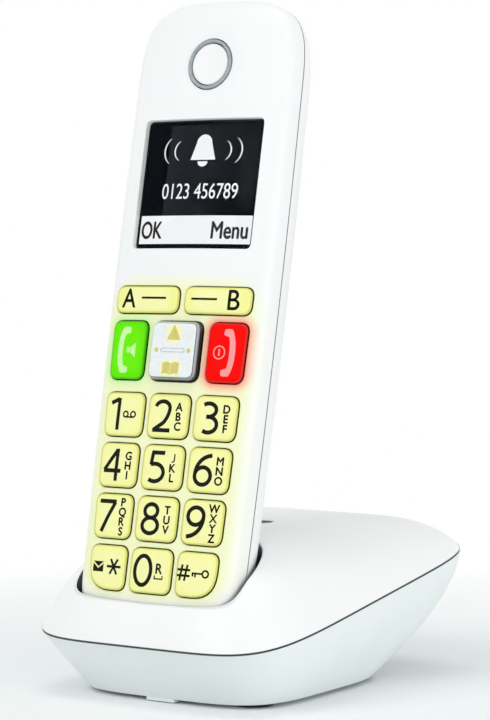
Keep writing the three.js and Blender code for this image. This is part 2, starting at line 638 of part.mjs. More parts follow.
function handsetRearShell() {
  const outer = rearForm();
  const inner = loft(rearRings(HANDSET_WALL, HANDSET_SEAM - OVERCUT, 5));
  const bay = bayBlock(BAY_WALL, BAY_FLOOR - BAY_WALL, HANDSET_DEPTH - MELD);
  const bed = facePrism(coverShape(COVER_BED_RIM), COVER_BED - HANDSET_WALL, HANDSET_DEPTH);
  let shell = joined(cut(outer, inner), bay, bed.intersect(outer));
  for (const x of CASE_SCREWS) {
    const z = CASE_SCREW_HEIGHT;
    const seat = COVER_BED - SCREW_HEAD_THICKNESS - GAP;
    const boss = inward(SCREW_HEAD_RADIUS + BOSS_WALL, x, z, HANDSET_SEAM + GAP / 2, COVER_BED, 14);
    const shankHole = inward(SCREW_RADIUS + GAP, x, z, 0, HANDSET_DEPTH, 10);
    const headHole = inward(SCREW_HEAD_RADIUS + GAP, x, z, seat, HANDSET_DEPTH + OVERCUT, 14);
    shell = cut(joined(shell, boss), shankHole, headHole);
  }
  const recess = facePrism(coverShape(GAP), COVER_BED, HANDSET_DEPTH + OVERCUT);
  const bayHollow = bayBlock(0, BAY_FLOOR, HANDSET_DEPTH + OVERCUT);
  const pads = CONTACTS.map((x) => padSlot(x, GAP));
  return cut(shell, recess, bayHollow, ...pads, ...grilleSlots());
}

// The battery bay's box, grown on its sides and ends.
function bayBlock(grow, front, back) {
  const half = BAY_HALF_WIDTH + grow;
  return block([-half, half], [front, back], [BAY_LOW - grow, BAY_HIGH + grow]);
}

function grilleSlots() {
  const slots = [];
  for (let i = 0; i < GRILLE_SLOTS; i += 1) {
    const fromMiddle = i - (GRILLE_SLOTS - 1) / 2;
    const z = RINGER_HEIGHT + fromMiddle * GRILLE_PITCH;
    const half = GRILLE_HALF_WIDTH - Math.abs(fromMiddle) * GRILLE_NARROWING;
    const low = z - GRILLE_SLOT_HALF_HEIGHT;
    const shape = roundedBox(-half, half, low, z + GRILLE_SLOT_HALF_HEIGHT, GRILLE_CORNER);
    slots.push(facePrism(shape, HANDSET_DEPTH - OVERCUT, HANDSET_DEPTH + OVERCUT, 1));
  }
  return slots;
}

function coverShape(grow) {
  const half = COVER_HALF_WIDTH + grow;
  return roundedBox(-half, half, COVER_LOW - grow, COVER_HIGH + grow, COVER_CORNER + grow);
}

// The cover's outside carries on the rear shell's form; a finger notch is sunk near its top edge.
function batteryCover() {
  const plate = facePrism(coverShape(0), COVER_INNER, HANDSET_DEPTH).intersect(rearForm());
  const high = COVER_HIGH - NOTCH_INSET;
  const low = high - NOTCH_HEIGHT;
  const shape = roundedBox(-NOTCH_HALF_WIDTH, NOTCH_HALF_WIDTH, low, high, NOTCH_CORNER);
  return cut(plate, facePrism(shape, HANDSET_DEPTH - NOTCH_DEPTH, HANDSET_DEPTH + OVERCUT));
}

// ---------------------------------------------------------------- handset: inner pieces
function displayLens() {
  return facePrism(windowShape(0), -OVERCUT, LENS_BACK, 2).intersect(behindCrown(LENS_RECESS));
}

function displayModule() {
  const front = LENS_BACK + GAP;
  return facePrism(windowShape(-GAP), front, front + DISPLAY_THICKNESS, 1);
}

function displayFrame() {
  const outer = facePrism(windowShape(FRAME_RIM), 0, MAT_BACK, 1);
  const inner = facePrism(windowShape(0), -OVERCUT, HANDSET_SEAM, 1);
  return cut(outer.intersect(behindCrown(FLANGE_FRONT)), inner);
}

function earpieceRing() {
  const outer = EARPIECE_RADIUS;
  const inner = outer - EARPIECE_RING_WIDTH;
  const shoulder = RING_ROUNDING - RING_PROUD;
  const profile = [
    [inner, shoulder], [(inner + outer) / 2, -RING_PROUD], [outer, shoulder],
    [outer, HANDSET_WALL], [inner, HANDSET_WALL], [inner, shoulder],
  ];
  const ring = new THREE.LatheGeometry(profile.map(([r, y]) => new THREE.Vector2(r, y)), 20);
  return solid(turnOutward(welded(ring)).translate(0, 0, EARPIECE_HEIGHT));
}

function earpieceCap() {
  const radius = EARPIECE_RADIUS - EARPIECE_RING_WIDTH - GAP;
  return inward(radius, 0, EARPIECE_HEIGHT, CAP_RECESS, HANDSET_WALL, 20);
}

function keypadMat() {
  const edge = KEYPAD_HALF_WIDTH_LOW + KEY_FLANGE;
  const low = DIGIT_ROW_LOW - KEY_FLANGE;
  const high = SOFT_ROW_HIGH + KEY_FLANGE;
  const shape = rounded([
    [-edge, low, LOWEST_CORNER],
    [edge, low, LOWEST_CORNER],
    [edge, high, MAT_TOP_CORNER],
    [-edge, high, MAT_TOP_CORNER],
  ]);
  return facePrism(shape, 0, MAT_BACK).intersect(behindCrown(MAT_FRONT));
}

function handsetBoard() {
  const half = BOARD_HALF_WIDTH;
  const shape = rounded([
    [-half, BOARD_LOW, BOARD_LOW_CORNER],
    [half, BOARD_LOW, BOARD_LOW_CORNER],
    [half, BOARD_HIGH, BOARD_HIGH_CORNER],
    [-half, BOARD_HIGH, BOARD_HIGH_CORNER],
  ]);
  const hole = (x) => inward(BOSS_RADIUS + GAP, x, CASE_SCREW_HEIGHT, 0, HANDSET_DEPTH, 12);
  return cut(facePrism(shape, BOARD_FRONT, BOARD_BACK, 4), ...CASE_SCREWS.map(hole));
}

function earpieceSpeaker() {
  return inward(SPEAKER_RADIUS, 0, EARPIECE_HEIGHT, MAT_BACK - SPEAKER_THICKNESS, MAT_BACK, 20);
}

function ringerSpeaker() {
  const back = HANDSET_DEPTH - HANDSET_WALL - RINGER_CLEARANCE;
  return inward(RINGER_RADIUS, 0, RINGER_HEIGHT, back - RINGER_THICKNESS, back, 20);
}

function microphone() {
  return inward(MIC_RADIUS, 0, MIC_HEIGHT, FLANGE_FRONT, FLANGE_FRONT + MIC_THICKNESS, 12);
}

function handsetAntenna() {
  const half = HANDSET_ANTENNA_HALF_WIDTH;
  const front = BOARD_BACK + GAP;
  const low = BOARD_HIGH - HANDSET_ANTENNA_DROP;
  const { x: depth, y: height } = HANDSET_ANTENNA_SIZE;
  return block([-half, half], [front, front + depth], [low, low + height]);
}

function batteryCell(x) {
  const radius = CELL_RADIUS;
  const shoulder = CELL_LENGTH - CELL_NUB_HEIGHT;
  const profile = [
    [0, 0],
    [radius - CELL_EDGE, 0],
    [radius, CELL_EDGE],
    [radius, shoulder - CELL_EDGE],
    [radius - CELL_EDGE, shoulder],
    [CELL_NUB_RADIUS, shoulder],
    [CELL_NUB_RADIUS, CELL_LENGTH],
    [0, CELL_LENGTH],
  ];
  const cell = new THREE.LatheGeometry(profile.map(([r, y]) => new THREE.Vector2(r, y)), 16);
  const turned = turnOutward(welded(cell)).rotateX(Math.PI / 2);
  return solid(turned.translate(x, CELL_DEPTH, CELL_LOW));
}

function batteryPlate() {
  const low = CELL_LOW + CELL_LENGTH + GAP;
  const half = BAY_HALF_WIDTH - GAP;
  const depth = [CELL_DEPTH - PLATE_REACH, CELL_DEPTH + PLATE_REACH];
  return block([-half, half], depth, [low, low + PLATE_THICKNESS]);
}

// A folded leaf: a foot on the bay's end wall and a bowed tongue that presses the cell.
function batterySpring(x) {
  const thickness = PLATE_THICKNESS;
  const top = SPRING_LENGTH;
  const leaf = new THREE.Shape();
  leaf.moveTo(-LEAF_REACH, 0);
  leaf.lineTo(LEAF_REACH, 0);
  leaf.lineTo(LEAF_REACH, thickness);
  leaf.lineTo(-LEAF_REACH + 2 * thickness, thickness);
  leaf.quadraticCurveTo(-LEAF_TIP + thickness, top - thickness, 0, top - thickness);
  leaf.lineTo(LEAF_TIP, top - 3 * thickness);
  leaf.lineTo(LEAF_TIP + thickness, top - 2 * thickness);
  leaf.lineTo(0, top);
  leaf.quadraticCurveTo(-LEAF_TIP, top, -LEAF_REACH, thickness);
  leaf.closePath();
  const strip = extruded(leaf, -LEAF_HALF_WIDTH, LEAF_HALF_WIDTH, 3);
  const standing = strip.rotateY(Math.PI / 2).rotateX(Math.PI / 2);
  return solid(standing.translate(x, CELL_DEPTH, BAY_LOW + GAP));
}

function chargePad(x) {
  const half = PAD_WIDTH / 2;
  const depth = [CONTACT_DEPTH - PAD_DEPTH / 2, CONTACT_DEPTH + PAD_DEPTH / 2];
  return block([x - half, x + half], depth, [PAD_RECESS, PAD_RECESS + PAD_HEIGHT]);
}

// A screw along the depth axis: its head at the back, its shank towards the face.
function caseScrew(x) {
  const z = CASE_SCREW_HEIGHT;
  const headBack = COVER_BED - GAP;
  const headFront = headBack - SCREW_HEAD_THICKNESS;
  const head = inward(SCREW_HEAD_RADIUS, x, z, headFront, headBack, 14);
  const shank = inward(SCREW_RADIUS, x, z, PILOT_FRONT + GAP, headFront + SCREW_HEAD_THICKNESS / 2, 10);
  const slot = block(
    [x - SCREW_SLOT_HALF.x, x + SCREW_SLOT_HALF.x],
    [headBack - SCREW_SLOT_DEPTH, headBack + OVERCUT],
    [z - SCREW_SLOT_HALF.y, z + SCREW_SLOT_HALF.y],
  );
  return cut(joined(head, shank), slot);
}

// ---------------------------------------------------------------- base: outer form
const RING_POINTS = 40;
const seamHeight = (y) => SEAM_FRONT + SEAM_SLOPE * (y + BASE_HALF_DEPTH);

// Plan outline of the base at its seam, drawn in by an inset.
function seamOutline(inset) {
  const points = [];
  for (let i = 0; i < RING_POINTS; i += 1) {
    const turn = (i / RING_POINTS) * Math.PI * 2;
    const power = Math.sin(turn) < 0 ? FRONT_POWER : REAR_POWER;
    const y = (BASE_HALF_DEPTH - inset) * signedPower(Math.sin(turn), 2 / power);
    const x = (BASE_HALF_WIDTH - inset) * signedPower(Math.cos(turn), 2 / power);
    points.push(new THREE.Vector2(x * (1 + (BASE_TAPER * y) / BASE_HALF_DEPTH), y));
  }
  return points;
}

function domeRise(y) {
  const along = y / BASE_HALF_DEPTH;
  const lean = (DOME_REAR - DOME_FRONT) / 2;
  const bow = (DOME_REAR + DOME_FRONT) / 2 - DOME_MIDDLE;
  return DOME_MIDDLE + lean * along + bow * along ** DOME_BOW_POWER;
}

function domeHeight(y, spread) {
  return seamHeight(y) + domeRise(y) * (1 - spread ** DOME_POWER);
}

// Height of the top shell where the paging key stands.
const PAGING_CROWN = domeHeight(PAGING_Y, Math.abs(PAGING_Y) / BASE_HALF_DEPTH);

// The top shell's form: rings that rise from the seam as they close on the middle.
const DOME_SPREADS = [1, 0.98, 0.945, 0.89, 0.81, 0.68, 0.46, 0.2, 0.05];
const HOLLOW_SPREADS = [1, 0.93, 0.82, 0.6, 0.2];

function domeBody(inset, spreads) {
  const outline = seamOutline(inset);
  const rings = spreads.map((spread) => outline.map(({ x, y }) => {
    const height = domeHeight(y * spread, spread) + GAP / 2 - inset;
    return new THREE.Vector3(x * spread, y * spread, height);
  }));
  if (inset > 0) rings.unshift(rings[0].map((p) => new THREE.Vector3(p.x, p.y, p.z - OVERCUT)));
  return loft(rings);
}

// The bottom shell's outer form: it flares from the floor outline to the seam.
function hullRing(share, inset) {
  const floorY = (FLOOR_REAR + FLOOR_FRONT) / 2;
  const floorHalf = (FLOOR_REAR - FLOOR_FRONT) / 2;
  return seamOutline(inset).map(({ x, y }, i) => {
    const turn = (i / RING_POINTS) * Math.PI * 2;
    const flare = THREE.MathUtils.lerp(FLARE_FRONT, FLARE_REAR, (1 + Math.sin(turn)) / 2);
    const spread = 1 - (1 - share) ** flare;
    const lowX = (FLOOR_HALF_WIDTH - inset) * signedPower(Math.cos(turn), 2 / FLOOR_POWER);
    const lowY = floorY + (floorHalf - inset) * signedPower(Math.sin(turn), 2 / FLOOR_POWER);
    const low = FLOOR_HEIGHT + inset;
    return new THREE.Vector3(
      THREE.MathUtils.lerp(lowX, x, spread),
      THREE.MathUtils.lerp(lowY, y, spread),
      THREE.MathUtils.lerp(low, seamHeight(y) - GAP / 2, share),
    );
  });
}

const HULL_SHARES = [0, 0.06, 0.18, 0.36, 0.6, 0.82, 1];
const HULL_HOLLOW_SHARES = [0, 0.15, 0.45, 1];

function hullBody(inset, shares) {
  const rings = shares.map((share) => hullRing(share, inset));
  if (inset > 0) rings.push(rings[rings.length - 1].map((p) => new THREE.Vector3(p.x, p.y, p.z + OVERCUT)));
  return loft(rings);
}

// ---------------------------------------------------------------- base: cradle well
const leaning = (geometry) => geometry
  .rotateX(-LEAN)
  .translate(HANDSET_FOOT.x, HANDSET_FOOT.y, HANDSET_FOOT.z);

// Plan of the well in the handset's own axes, grown by a wall: behind the seam it
// follows the form of the rear shell, and its front is a softened rectangle.
function wellOutline(grow) {
  const half = WELL_HALF_WIDTH + grow;
  const back = HANDSET_DEPTH - HANDSET_SEAM + WELL_REAR_GAP + grow;
  const right = [];
  for (let i = 0; i <= 9; i += 1) {
    const turn = (i / 9) * (Math.PI / 2);
    const x = half - REAR_TAPER * (1 - Math.cos(turn));
    right.push(new THREE.Vector2(x, HANDSET_SEAM + back * Math.sin(turn) ** REAR_DEPTH_POWER));
  }
  const left = right.map(({ x, y }) => new THREE.Vector2(-x, y)).reverse();
  const front = [];
  for (let i = 1; i < 16; i += 1) {
    const turn = Math.PI * (1 + i / 16);
    const x = half * signedPower(Math.cos(turn), 2 / WELL_FRONT_POWER);
    const reach = (HANDSET_SEAM + WELL_FRONT_GAP + grow) * signedPower(Math.sin(turn), 2 / WELL_FRONT_POWER);
    front.push(new THREE.Vector2(x, HANDSET_SEAM + reach));
  }
  return [...right, ...left, ...front];
}

// A prism along the handset's length that the handset passes through.
function wellGeometry(grow, low, high) {
  return leaning(extruded(new THREE.Shape(wellOutline(grow)), low, high, 1));
}

function pinShape(x, y, grow) {
  const half = PIN_WIDTH / 2 + grow;
  return roundedBox(x - half, x + half, y - half, y + half, PIN_CORNER);
}

function pinHole(x) {
  return solid(leaning(extruded(pinShape(x, CONTACT_DEPTH, GAP), -2 * OVERCUT, OVERCUT, 1)));
}

function baseTopShell() {
  const outer = domeBody(0, DOME_SPREADS);
  const tub = solid(wellGeometry(BASE_WALL, -WELL_FLOOR_GAP - BASE_WALL, HANDSET_LENGTH));
  const below = solid(wellGeometry(BASE_WALL + MELD, -FOOT_HEIGHT, 0));
  const insideHull = hullBody(BASE_WALL + GAP, HULL_HOLLOW_SHARES);
  const allowed = joined(outer, below.intersect(insideHull));
  const hollow = solid(wellGeometry(0, -WELL_FLOOR_GAP, HANDSET_LENGTH));
  const shell = joined(cut(outer, domeBody(BASE_WALL, HOLLOW_SPREADS)), tub.intersect(allowed));
  const keyLow = PAGING_CROWN - 2 * BASE_WALL;
  const keyHole = upright(PAGING_RADIUS + GAP, 0, PAGING_Y, keyLow, PAGING_CROWN + OVERCUT, 20);
  const bosses = BASE_SCREWS.map((x) => screwBoss(x));
  const bores = BASE_SCREWS.map((x) => screwBore(x));
  const pinHoles = CONTACTS.map((x) => pinHole(x));
  return cut(joined(shell, ...bosses), hollow, keyHole, ...pinHoles, ...bores);
}

// A boss that hangs from the middle of the top shell's wall.
function screwBoss(x) {
  const radius = SCREW_RADIUS + BASE_BOSS_WALL;
  const post = upright(radius, x, BASE_SCREW_Y, BOSS_FOOT, domeHeight(BASE_SCREW_Y, 0), 12);
  return post.intersect(domeBody(BASE_WALL / 2, HOLLOW_SPREADS));
}

function screwBore(x) {
  const low = BOSS_FOOT - OVERCUT;
  return upright(SCREW_RADIUS + GAP, x, BASE_SCREW_Y, low, BOSS_FOOT + BASE_SCREW_BITE + GAP, 10);
}

// ---------------------------------------------------------------- base: bottom shell
function footPlaces() {
  const x = FLOOR_HALF_WIDTH - FOOT_INSET.x;
  const front = FLOOR_FRONT + FOOT_INSET.y;
  const rear = FLOOR_REAR - FOOT_INSET.y;
  return [
    ['foot_front_left', -x, front],
    ['foot_front_right', x, front],
    ['foot_rear_left', -x, rear],
    ['foot_rear_right', x, rear],
  ];
}

function baseBottomShell() {
  const outer = hullBody(0, HULL_SHARES);
  const nicheX = [-NICHE_HALF_WIDTH, NICHE_HALF_WIDTH];
  const nicheCase = block(
    [nicheX[0] - NICHE_WALL, nicheX[1] + NICHE_WALL],
    [NICHE_FACE - NICHE_WALL, BASE_HALF_DEPTH],
    [FLOOR_HEIGHT, NICHE_HIGH + NICHE_WALL],
  ).intersect(outer);
  const niche = block(nicheX, [NICHE_FACE, BASE_HALF_DEPTH + OVERCUT], [NICHE_LOW, NICHE_HIGH]);
  const tabTop = FLOOR_HEIGHT + BASE_WALL;
  const tab = block(
    [-TAB_HALF_WIDTH, TAB_HALF_WIDTH],
    [FLOOR_FRONT, FLOOR_FRONT + TAB_DEPTH],
    [FLOOR_HEIGHT - TAB_DROP, tabTop],
  );
  const post = ([x, y]) => upright(POST_RADIUS, x, y, FLOOR_HEIGHT + MELD, BASE_BOARD_HEIGHT - GAP, 10);
  const recess = ([, x, y]) => upright(FOOT_RADIUS + GAP, x, y, 0, FLOOR_HEIGHT + FOOT_SINK, 18);
  const screwHole = (x) => joined(
    upright(SCREW_RADIUS + GAP, x, BASE_SCREW_Y, 0, BOSS_FOOT + OVERCUT, 10),
    upright(SCREW_HEAD_RADIUS + GAP, x, BASE_SCREW_Y, 0, FLOOR_HEIGHT + BASE_HEAD_SINK, 14),
  );
  const mouths = socketPlaces().map(({ x, opening }) => socketBlock(x, opening, GAP));
  const tray = cut(outer, hullBody(BASE_WALL, HULL_HOLLOW_SHARES));
  const shell = joined(tray, nicheCase, tab, ...postPlaces().map(post));
  return cut(shell, niche, ...mouths, ...footPlaces().map(recess), ...BASE_SCREWS.map(screwHole));
}

function rubberFoot(x, y) {
  return upright(FOOT_RADIUS, x, y, 0, FLOOR_HEIGHT + FOOT_SINK - GAP, 18);
}

function postPlaces() {
  const x = BASE_BOARD_HALF_WIDTH - POST_INSET;
  const front = BASE_BOARD_FRONT + POST_INSET;
  const rear = BASE_BOARD_REAR - REAR_POST_INSET;
  return [[-x, front], [x, front], [-x, rear], [x, rear]];
}

function baseBoard() {
  const half = BASE_BOARD_HALF_WIDTH;
  const shape = roundedBox(-half, half, BASE_BOARD_FRONT, BASE_BOARD_REAR, BASE_BOARD_CORNER);
  return prism(shape, BASE_BOARD_HEIGHT, BOARD_TOP, 2);
}

// ---------------------------------------------------------------- base: sockets
function socketPlaces() {
  return [
    { name: 'line_socket', x: SOCKET_X, opening: LINE_OPENING },
    { name: 'power_socket', x: -SOCKET_X, opening: POWER_OPENING },
  ];
}

function socketBlock(x, opening, grow) {
  const half = opening.x / 2 + SOCKET_WALL + grow;
  const depth = [NICHE_FACE - SOCKET_DEPTH - grow, NICHE_FACE + grow];
  const high = SOCKET_LIFT + opening.y + 2 * SOCKET_WALL + grow;
  return block([x - half, x + half], depth, [SOCKET_LIFT - grow, high]);
}

function socket({ x, opening }) {
  const housing = socketBlock(x, opening, 0);
  const low = SOCKET_LIFT + SOCKET_WALL;
  const mouth = block(
    [x - opening.x / 2, x + opening.x / 2],
    [NICHE_FACE - SOCKET_DEPTH + SOCKET_WALL, NICHE_FACE + OVERCUT],
    [low, low + opening.y],
  );
  const latch = block(
    [x - LATCH_HALF_WIDTH, x + LATCH_HALF_WIDTH],
    [NICHE_FACE - LATCH_DEPTH, NICHE_FACE + OVERCUT],
    [SOCKET_LIFT - OVERCUT, low + MELD],
  );
  return cut(housing, mouth, latch);
}

// ---------------------------------------------------------------- base: moving and small pieces
function pagingKey() {
  const top = PAGING_CROWN - PAGING_SINK;
  const flangeTop = PAGING_CROWN - BASE_WALL - 3 * GAP;
  const flangeLow = flangeTop - PAGING_FLANGE_THICKNESS;
  const stemLow = SWITCH_TOP + PAGING_TRAVEL + GAP;
  return joined(
    upright(PAGING_RADIUS, 0, PAGING_Y, flangeLow, top, 20),
    upright(PAGING_RADIUS + PAGING_FLANGE, 0, PAGING_Y, flangeLow, flangeTop, 20),
    upright(PAGING_STEM_RADIUS, 0, PAGING_Y, stemLow, flangeTop, 10),
  );
}

function pagingSwitch() {
  const half = SWITCH_HALF_WIDTH;
  return block([-half, half], [PAGING_Y - half, PAGING_Y + half], [BOARD_TOP + GAP, SWITCH_TOP]);
}

// A contact pin that stands through the well's floor and meets the handset's pad.
function chargePin(x) {
  const top = PAD_RECESS - GAP;
  const flangeHigh = -WELL_FLOOR_GAP - BASE_WALL - GAP;
  const low = flangeHigh - PIN_FLANGE_THICKNESS;
  const stem = prism(pinShape(x, CONTACT_DEPTH, 0), low, top, 2);
  return joined(stem, prism(pinShape(x, CONTACT_DEPTH, PIN_FLANGE), low, flangeHigh, 2));
}

// A screw from below, through the bottom shell into the top shell's boss.
function baseScrew(x) {
  const y = BASE_SCREW_Y;
  const headHigh = FLOOR_HEIGHT + BASE_HEAD_SINK - GAP;
  const headLow = headHigh - BASE_HEAD_THICKNESS;
  const head = upright(SCREW_HEAD_RADIUS, x, y, headLow, headHigh, 14);
  const shank = upright(SCREW_RADIUS, x, y, headLow + BASE_SLOT_DEPTH, BOSS_FOOT + BASE_SCREW_BITE, 10);
  const slot = block(
    [x - SCREW_SLOT_HALF.x, x + SCREW_SLOT_HALF.x],
    [y - SCREW_SLOT_HALF.y, y + SCREW_SLOT_HALF.y],
    [0, headLow + BASE_SLOT_DEPTH],
  );
  return cut(joined(head, shank), slot);
}

function baseAntenna() {
  const half = ANTENNA_HALF_WIDTH;
  const y = BASE_BOARD_FRONT + ANTENNA_INSET;
  const low = BOARD_TOP + GAP;
  return block([-half, half], [y, y + ANTENNA_THICKNESS], [low, low + ANTENNA_HEIGHT]);
}

// ---------------------------------------------------------------- assembly
function buildHandset() {
  const group = new THREE.Group();
  group.position.copy(HANDSET_FOOT);
  group.rotation.x = -LEAN;
  addTo(group, 'handset_front_shell', handsetFrontShell(), shellWhite());
  addTo(group, 'handset_rear_shell', handsetRearShell(), shellWhite());
  addTo(group, 'battery_cover', batteryCover(), shellWhite());
  addTo(group, 'display_lens', displayLens(), material(0x0b0c0e, 0.08));
  addTo(group, 'display_module', displayModule(), material(0x2a2f33, 0.4));
  addTo(group, 'display_frame', displayFrame(), blackPlastic());
  addTo(group, 'earpiece_ring', earpieceRing(), material(0x9ea3a4, 0.35));
  addTo(group, 'earpiece_cap', earpieceCap(), shellWhite());
  addTo(group, 'earpiece_speaker', earpieceSpeaker(), blackPlastic());
  addTo(group, 'keypad_mat', keypadMat(), material(0xe9ead8, 0.8));
  addTo(group, 'handset_board', handsetBoard(), boardGreen());
  addTo(group, 'microphone', microphone(), springSteel());
  addTo(group, 'ringer_speaker', ringerSpeaker(), blackPlastic());
  addTo(group, 'handset_antenna', handsetAntenna(), goldPlate());
  addTo(group, 'battery_plate', batteryPlate(), springSteel());
  for (const [side, sign] of [['left', -1], ['right', 1]]) {
    const cellX = sign * CELL_X;
    addTo(group, `battery_cell_${side}`, batteryCell(cellX), material(0x2f6fb0, 0.4));
    addTo(group, `battery_spring_${side}`, batterySpring(cellX), springSteel());
    addTo(group, `handset_contact_${side}`, chargePad(sign * CONTACT_X), springSteel());
    addTo(group, `handset_screw_${side}`, caseScrew(sign * CASE_SCREW_X), springSteel());
  }
  for (const key of KEYS) addTo(group, key.name, keyBody(key), key.look);
  return group;
}

function buildBase() {
  const group = new THREE.Group();
  addTo(group, 'base_top_shell', baseTopShell(), shellWhite());
  addTo(group, 'base_bottom_shell', baseBottomShell(), shellWhite());
  addTo(group, 'base_board', baseBoard(), boardGreen());
  addTo(group, 'paging_key', pagingKey(), material(0x3a3d40, 0.5));
  addTo(group, 'paging_switch', pagingSwitch(), blackPlastic());
  addTo(group, 'base_antenna', baseAntenna(), goldPlate());
  for (const place of socketPlaces()) addTo(group, place.name, socket(place), blackPlastic());
  for (const [name, x, y] of footPlaces()) addTo(group, name, rubberFoot(x, y), rubberBlack());
  const cradle = new THREE.Group();
  cradle.position.copy(HANDSET_FOOT);
  cradle.rotation.x = -LEAN;
  for (const [side, sign] of [['left', -1], ['right', 1]]) {
    addTo(group, `base_screw_${side}`, baseScrew(sign * BASE_SCREW_X), springSteel());
    addTo(cradle, `charge_pin_${side}`, chargePin(sign * CONTACT_X), springSteel());
  }
  group.add(cradle);
  return group;
}

const phone = new THREE.Group();
phone.add(buildBase(), buildHandset());

export default phone;
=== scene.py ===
"""Visual model of the cordless phone with its charging base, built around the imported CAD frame.

Lengths in this script are millimetres until a mesh is made; meshes are in metres.
The handset's own axes: x across, y the depth behind its face, z the height along it.
"""

import math

import bmesh
import bpy
import numpy as np
from mathutils import Matrix, Vector
from mathutils.bvhtree import BVHTree


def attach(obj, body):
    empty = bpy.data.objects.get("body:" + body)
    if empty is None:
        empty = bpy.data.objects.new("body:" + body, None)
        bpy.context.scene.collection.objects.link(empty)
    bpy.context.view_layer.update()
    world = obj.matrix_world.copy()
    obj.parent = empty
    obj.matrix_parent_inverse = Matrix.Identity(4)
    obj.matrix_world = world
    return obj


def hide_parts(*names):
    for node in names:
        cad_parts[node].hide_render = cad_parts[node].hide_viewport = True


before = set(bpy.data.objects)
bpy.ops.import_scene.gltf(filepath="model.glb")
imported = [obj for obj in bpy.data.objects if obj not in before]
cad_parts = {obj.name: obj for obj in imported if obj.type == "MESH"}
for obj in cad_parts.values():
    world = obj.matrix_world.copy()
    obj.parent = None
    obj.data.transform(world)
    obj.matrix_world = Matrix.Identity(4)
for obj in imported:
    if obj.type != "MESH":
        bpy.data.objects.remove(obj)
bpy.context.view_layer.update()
scene = bpy.context.scene

# ---------------------------------------------------------------- dimensions
MM = 0.001
GAP = 0.3
LEAN = math.radians(11.52)
FOOT = np.array([0.0, -49.48, 19.46])  # bottom end of the handset's face

LENGTH = 175.4
MIDDLE = LENGTH / 2
HALF_WIDTH = 26.2
WIDEST = LENGTH * 0.57
DEPTH = 25.0
WALL = 1.8
SEAM = 8.0  # depth of the seam between the handset's shells
SEAM_INSET, SEAM_EDGE = 0.2, 0.12  # the small bevel along that seam
CORNER_BEND = 2 / 3.7
SIDE_POINTS = 110  # points along one side of the handset's outline
CROWN_RADIUS = 278.0
REAR_TAPER = 16.0
REAR_BEND = 1.33

WINDOW = (19.3, 105.5, 141.1)  # half width, low, high
PANEL_DEPTH = 1.9
EAR = (0, 156.8)
MOUTH = (0, 6.4)
RINGER = 130
BAY = (11.1, 38.0, 89.4, 11.8)  # half width, low, high, depth of its floor
BAY_WALL = 1.2
COVER = (14.8, 33, 106, 4)  # half width, low, high, corner
COVER_BED = 22.9
CASE_SCREW = (12.6, 98.6)
BORE = 1.4  # radius of every case screw's pilot hole
ROUND = 96  # sides of the larger round pieces

KEY_PROUD = 0.7
NAVIGATION_PROUD = 2.2
KEY_CORNER, LOW_CORNER = 2.6, 7.0
KEYPAD_HALF = (20.6, 22.3)  # at its low and its high end
ROW_LOW, ROW_STEP, ROW_HEIGHT = 10.9, 14, 12
CALL_ROW = (68.6, 84.8)
CALL_MIDDLE = sum(CALL_ROW) / 2
SOFT_ROW = (87.1, 94.5)

BASE_HALF_WIDTH = 44.53
BASE_HALF_DEPTH = 53.4
BASE_TAPER = 0.077
PLAN_POWER = (5.44, 6.11)  # of the outline's front and rear
PLAN_POINTS = 340
BASE_WALL = 2.0
BASE_EDGE_INSET = 0.3
SEAM_FRONT, SEAM_SLOPE = 16.4, 0.1943
DOME = (36.8, 17.25, 19.8)  # rise of the top shell's front, middle and rear
WELL_GAP = 0.5
WELL_FRONT = SEAM + 0.6
WELL_FLOOR = -0.4
FLOOR_HEIGHT = 1.2
FLOOR_HALF_WIDTH = 32.6
FLOOR_FRONT = -42.4
FLOOR_REAR = 28.1
FLOOR_POWER = 2 / 4.2
PAGING_Y = 7.1
PAGING_HOLE = 3.6
CONTACT_X = 12.0
CONTACT_DEPTH = 11.2
BASE_SCREW = (27.0, 4.0)
FEET = {"foot_front_left": (-23, -30.9), "foot_front_right": (23, -30.9),
        "foot_rear_left": (-23, 16.6), "foot_rear_right": (23, 16.6)}
NICHE = (26.0, 17.0, 4.4, 18.0)  # y of the sockets' faces, half width, low, high
SOCKETS = {"line_socket": (8.0, 9.8, 6.8), "power_socket": (-8.0, 7.6, 6.0)}  # x, width and height of the mouth
SOCKET_WALL, SOCKET_LOW, MOUTH_LOW = 1.4, 7, 8.4

HANDSET = Matrix.Translation(Vector(FOOT) * MM) @ Matrix.Rotation(-LEAN, 4, "X")
SIDES = (("left", -1), ("right", 1))


# ---------------------------------------------------------------- mesh helpers
def to_world(points):
    """Handset coordinates to world coordinates, both in millimetres."""
    x, y, z = np.asarray(points, float).T
    s, c = math.sin(LEAN), math.cos(LEAN)
    return np.column_stack([x, FOOT[1] + z * s + y * c, FOOT[2] + z * c - y * s])


def new_object(name, points, faces, local=True):
    """An object in metres; handset pieces (local) keep their own axes in the mesh."""
    mesh = bpy.data.meshes.new(name)
    mesh.from_pydata((np.asarray(points, float) * MM).tolist(), [], [list(f) for f in faces])
    mesh.validate()
    obj = bpy.data.objects.new(name, mesh)
    scene.collection.objects.link(obj)
    if local:
        obj.matrix_world = HANDSET
    return obj


def loft(rings, capped=True):
    """Vertices and faces of a skin over rings with the same number of points each."""
    n = len(rings[0])
    points = [p for r in rings for p in r]
    faces = []
    for a in range(0, (len(rings) - 1) * n, n):
        for i in range(n):
            j = (i + 1) % n
            faces.append((a + i, a + j, a + n + j, a + n + i))
    if capped:
        low, high = len(points), len(points) + 1
        points += [rings[0].mean(0), rings[-1].mean(0)]
        last = low - n
        faces += [(low, (i + 1) % n, i) for i in range(n)]
        faces += [(high, last + i, last + (i + 1) % n) for i in range(n)]
    return np.array(points), faces


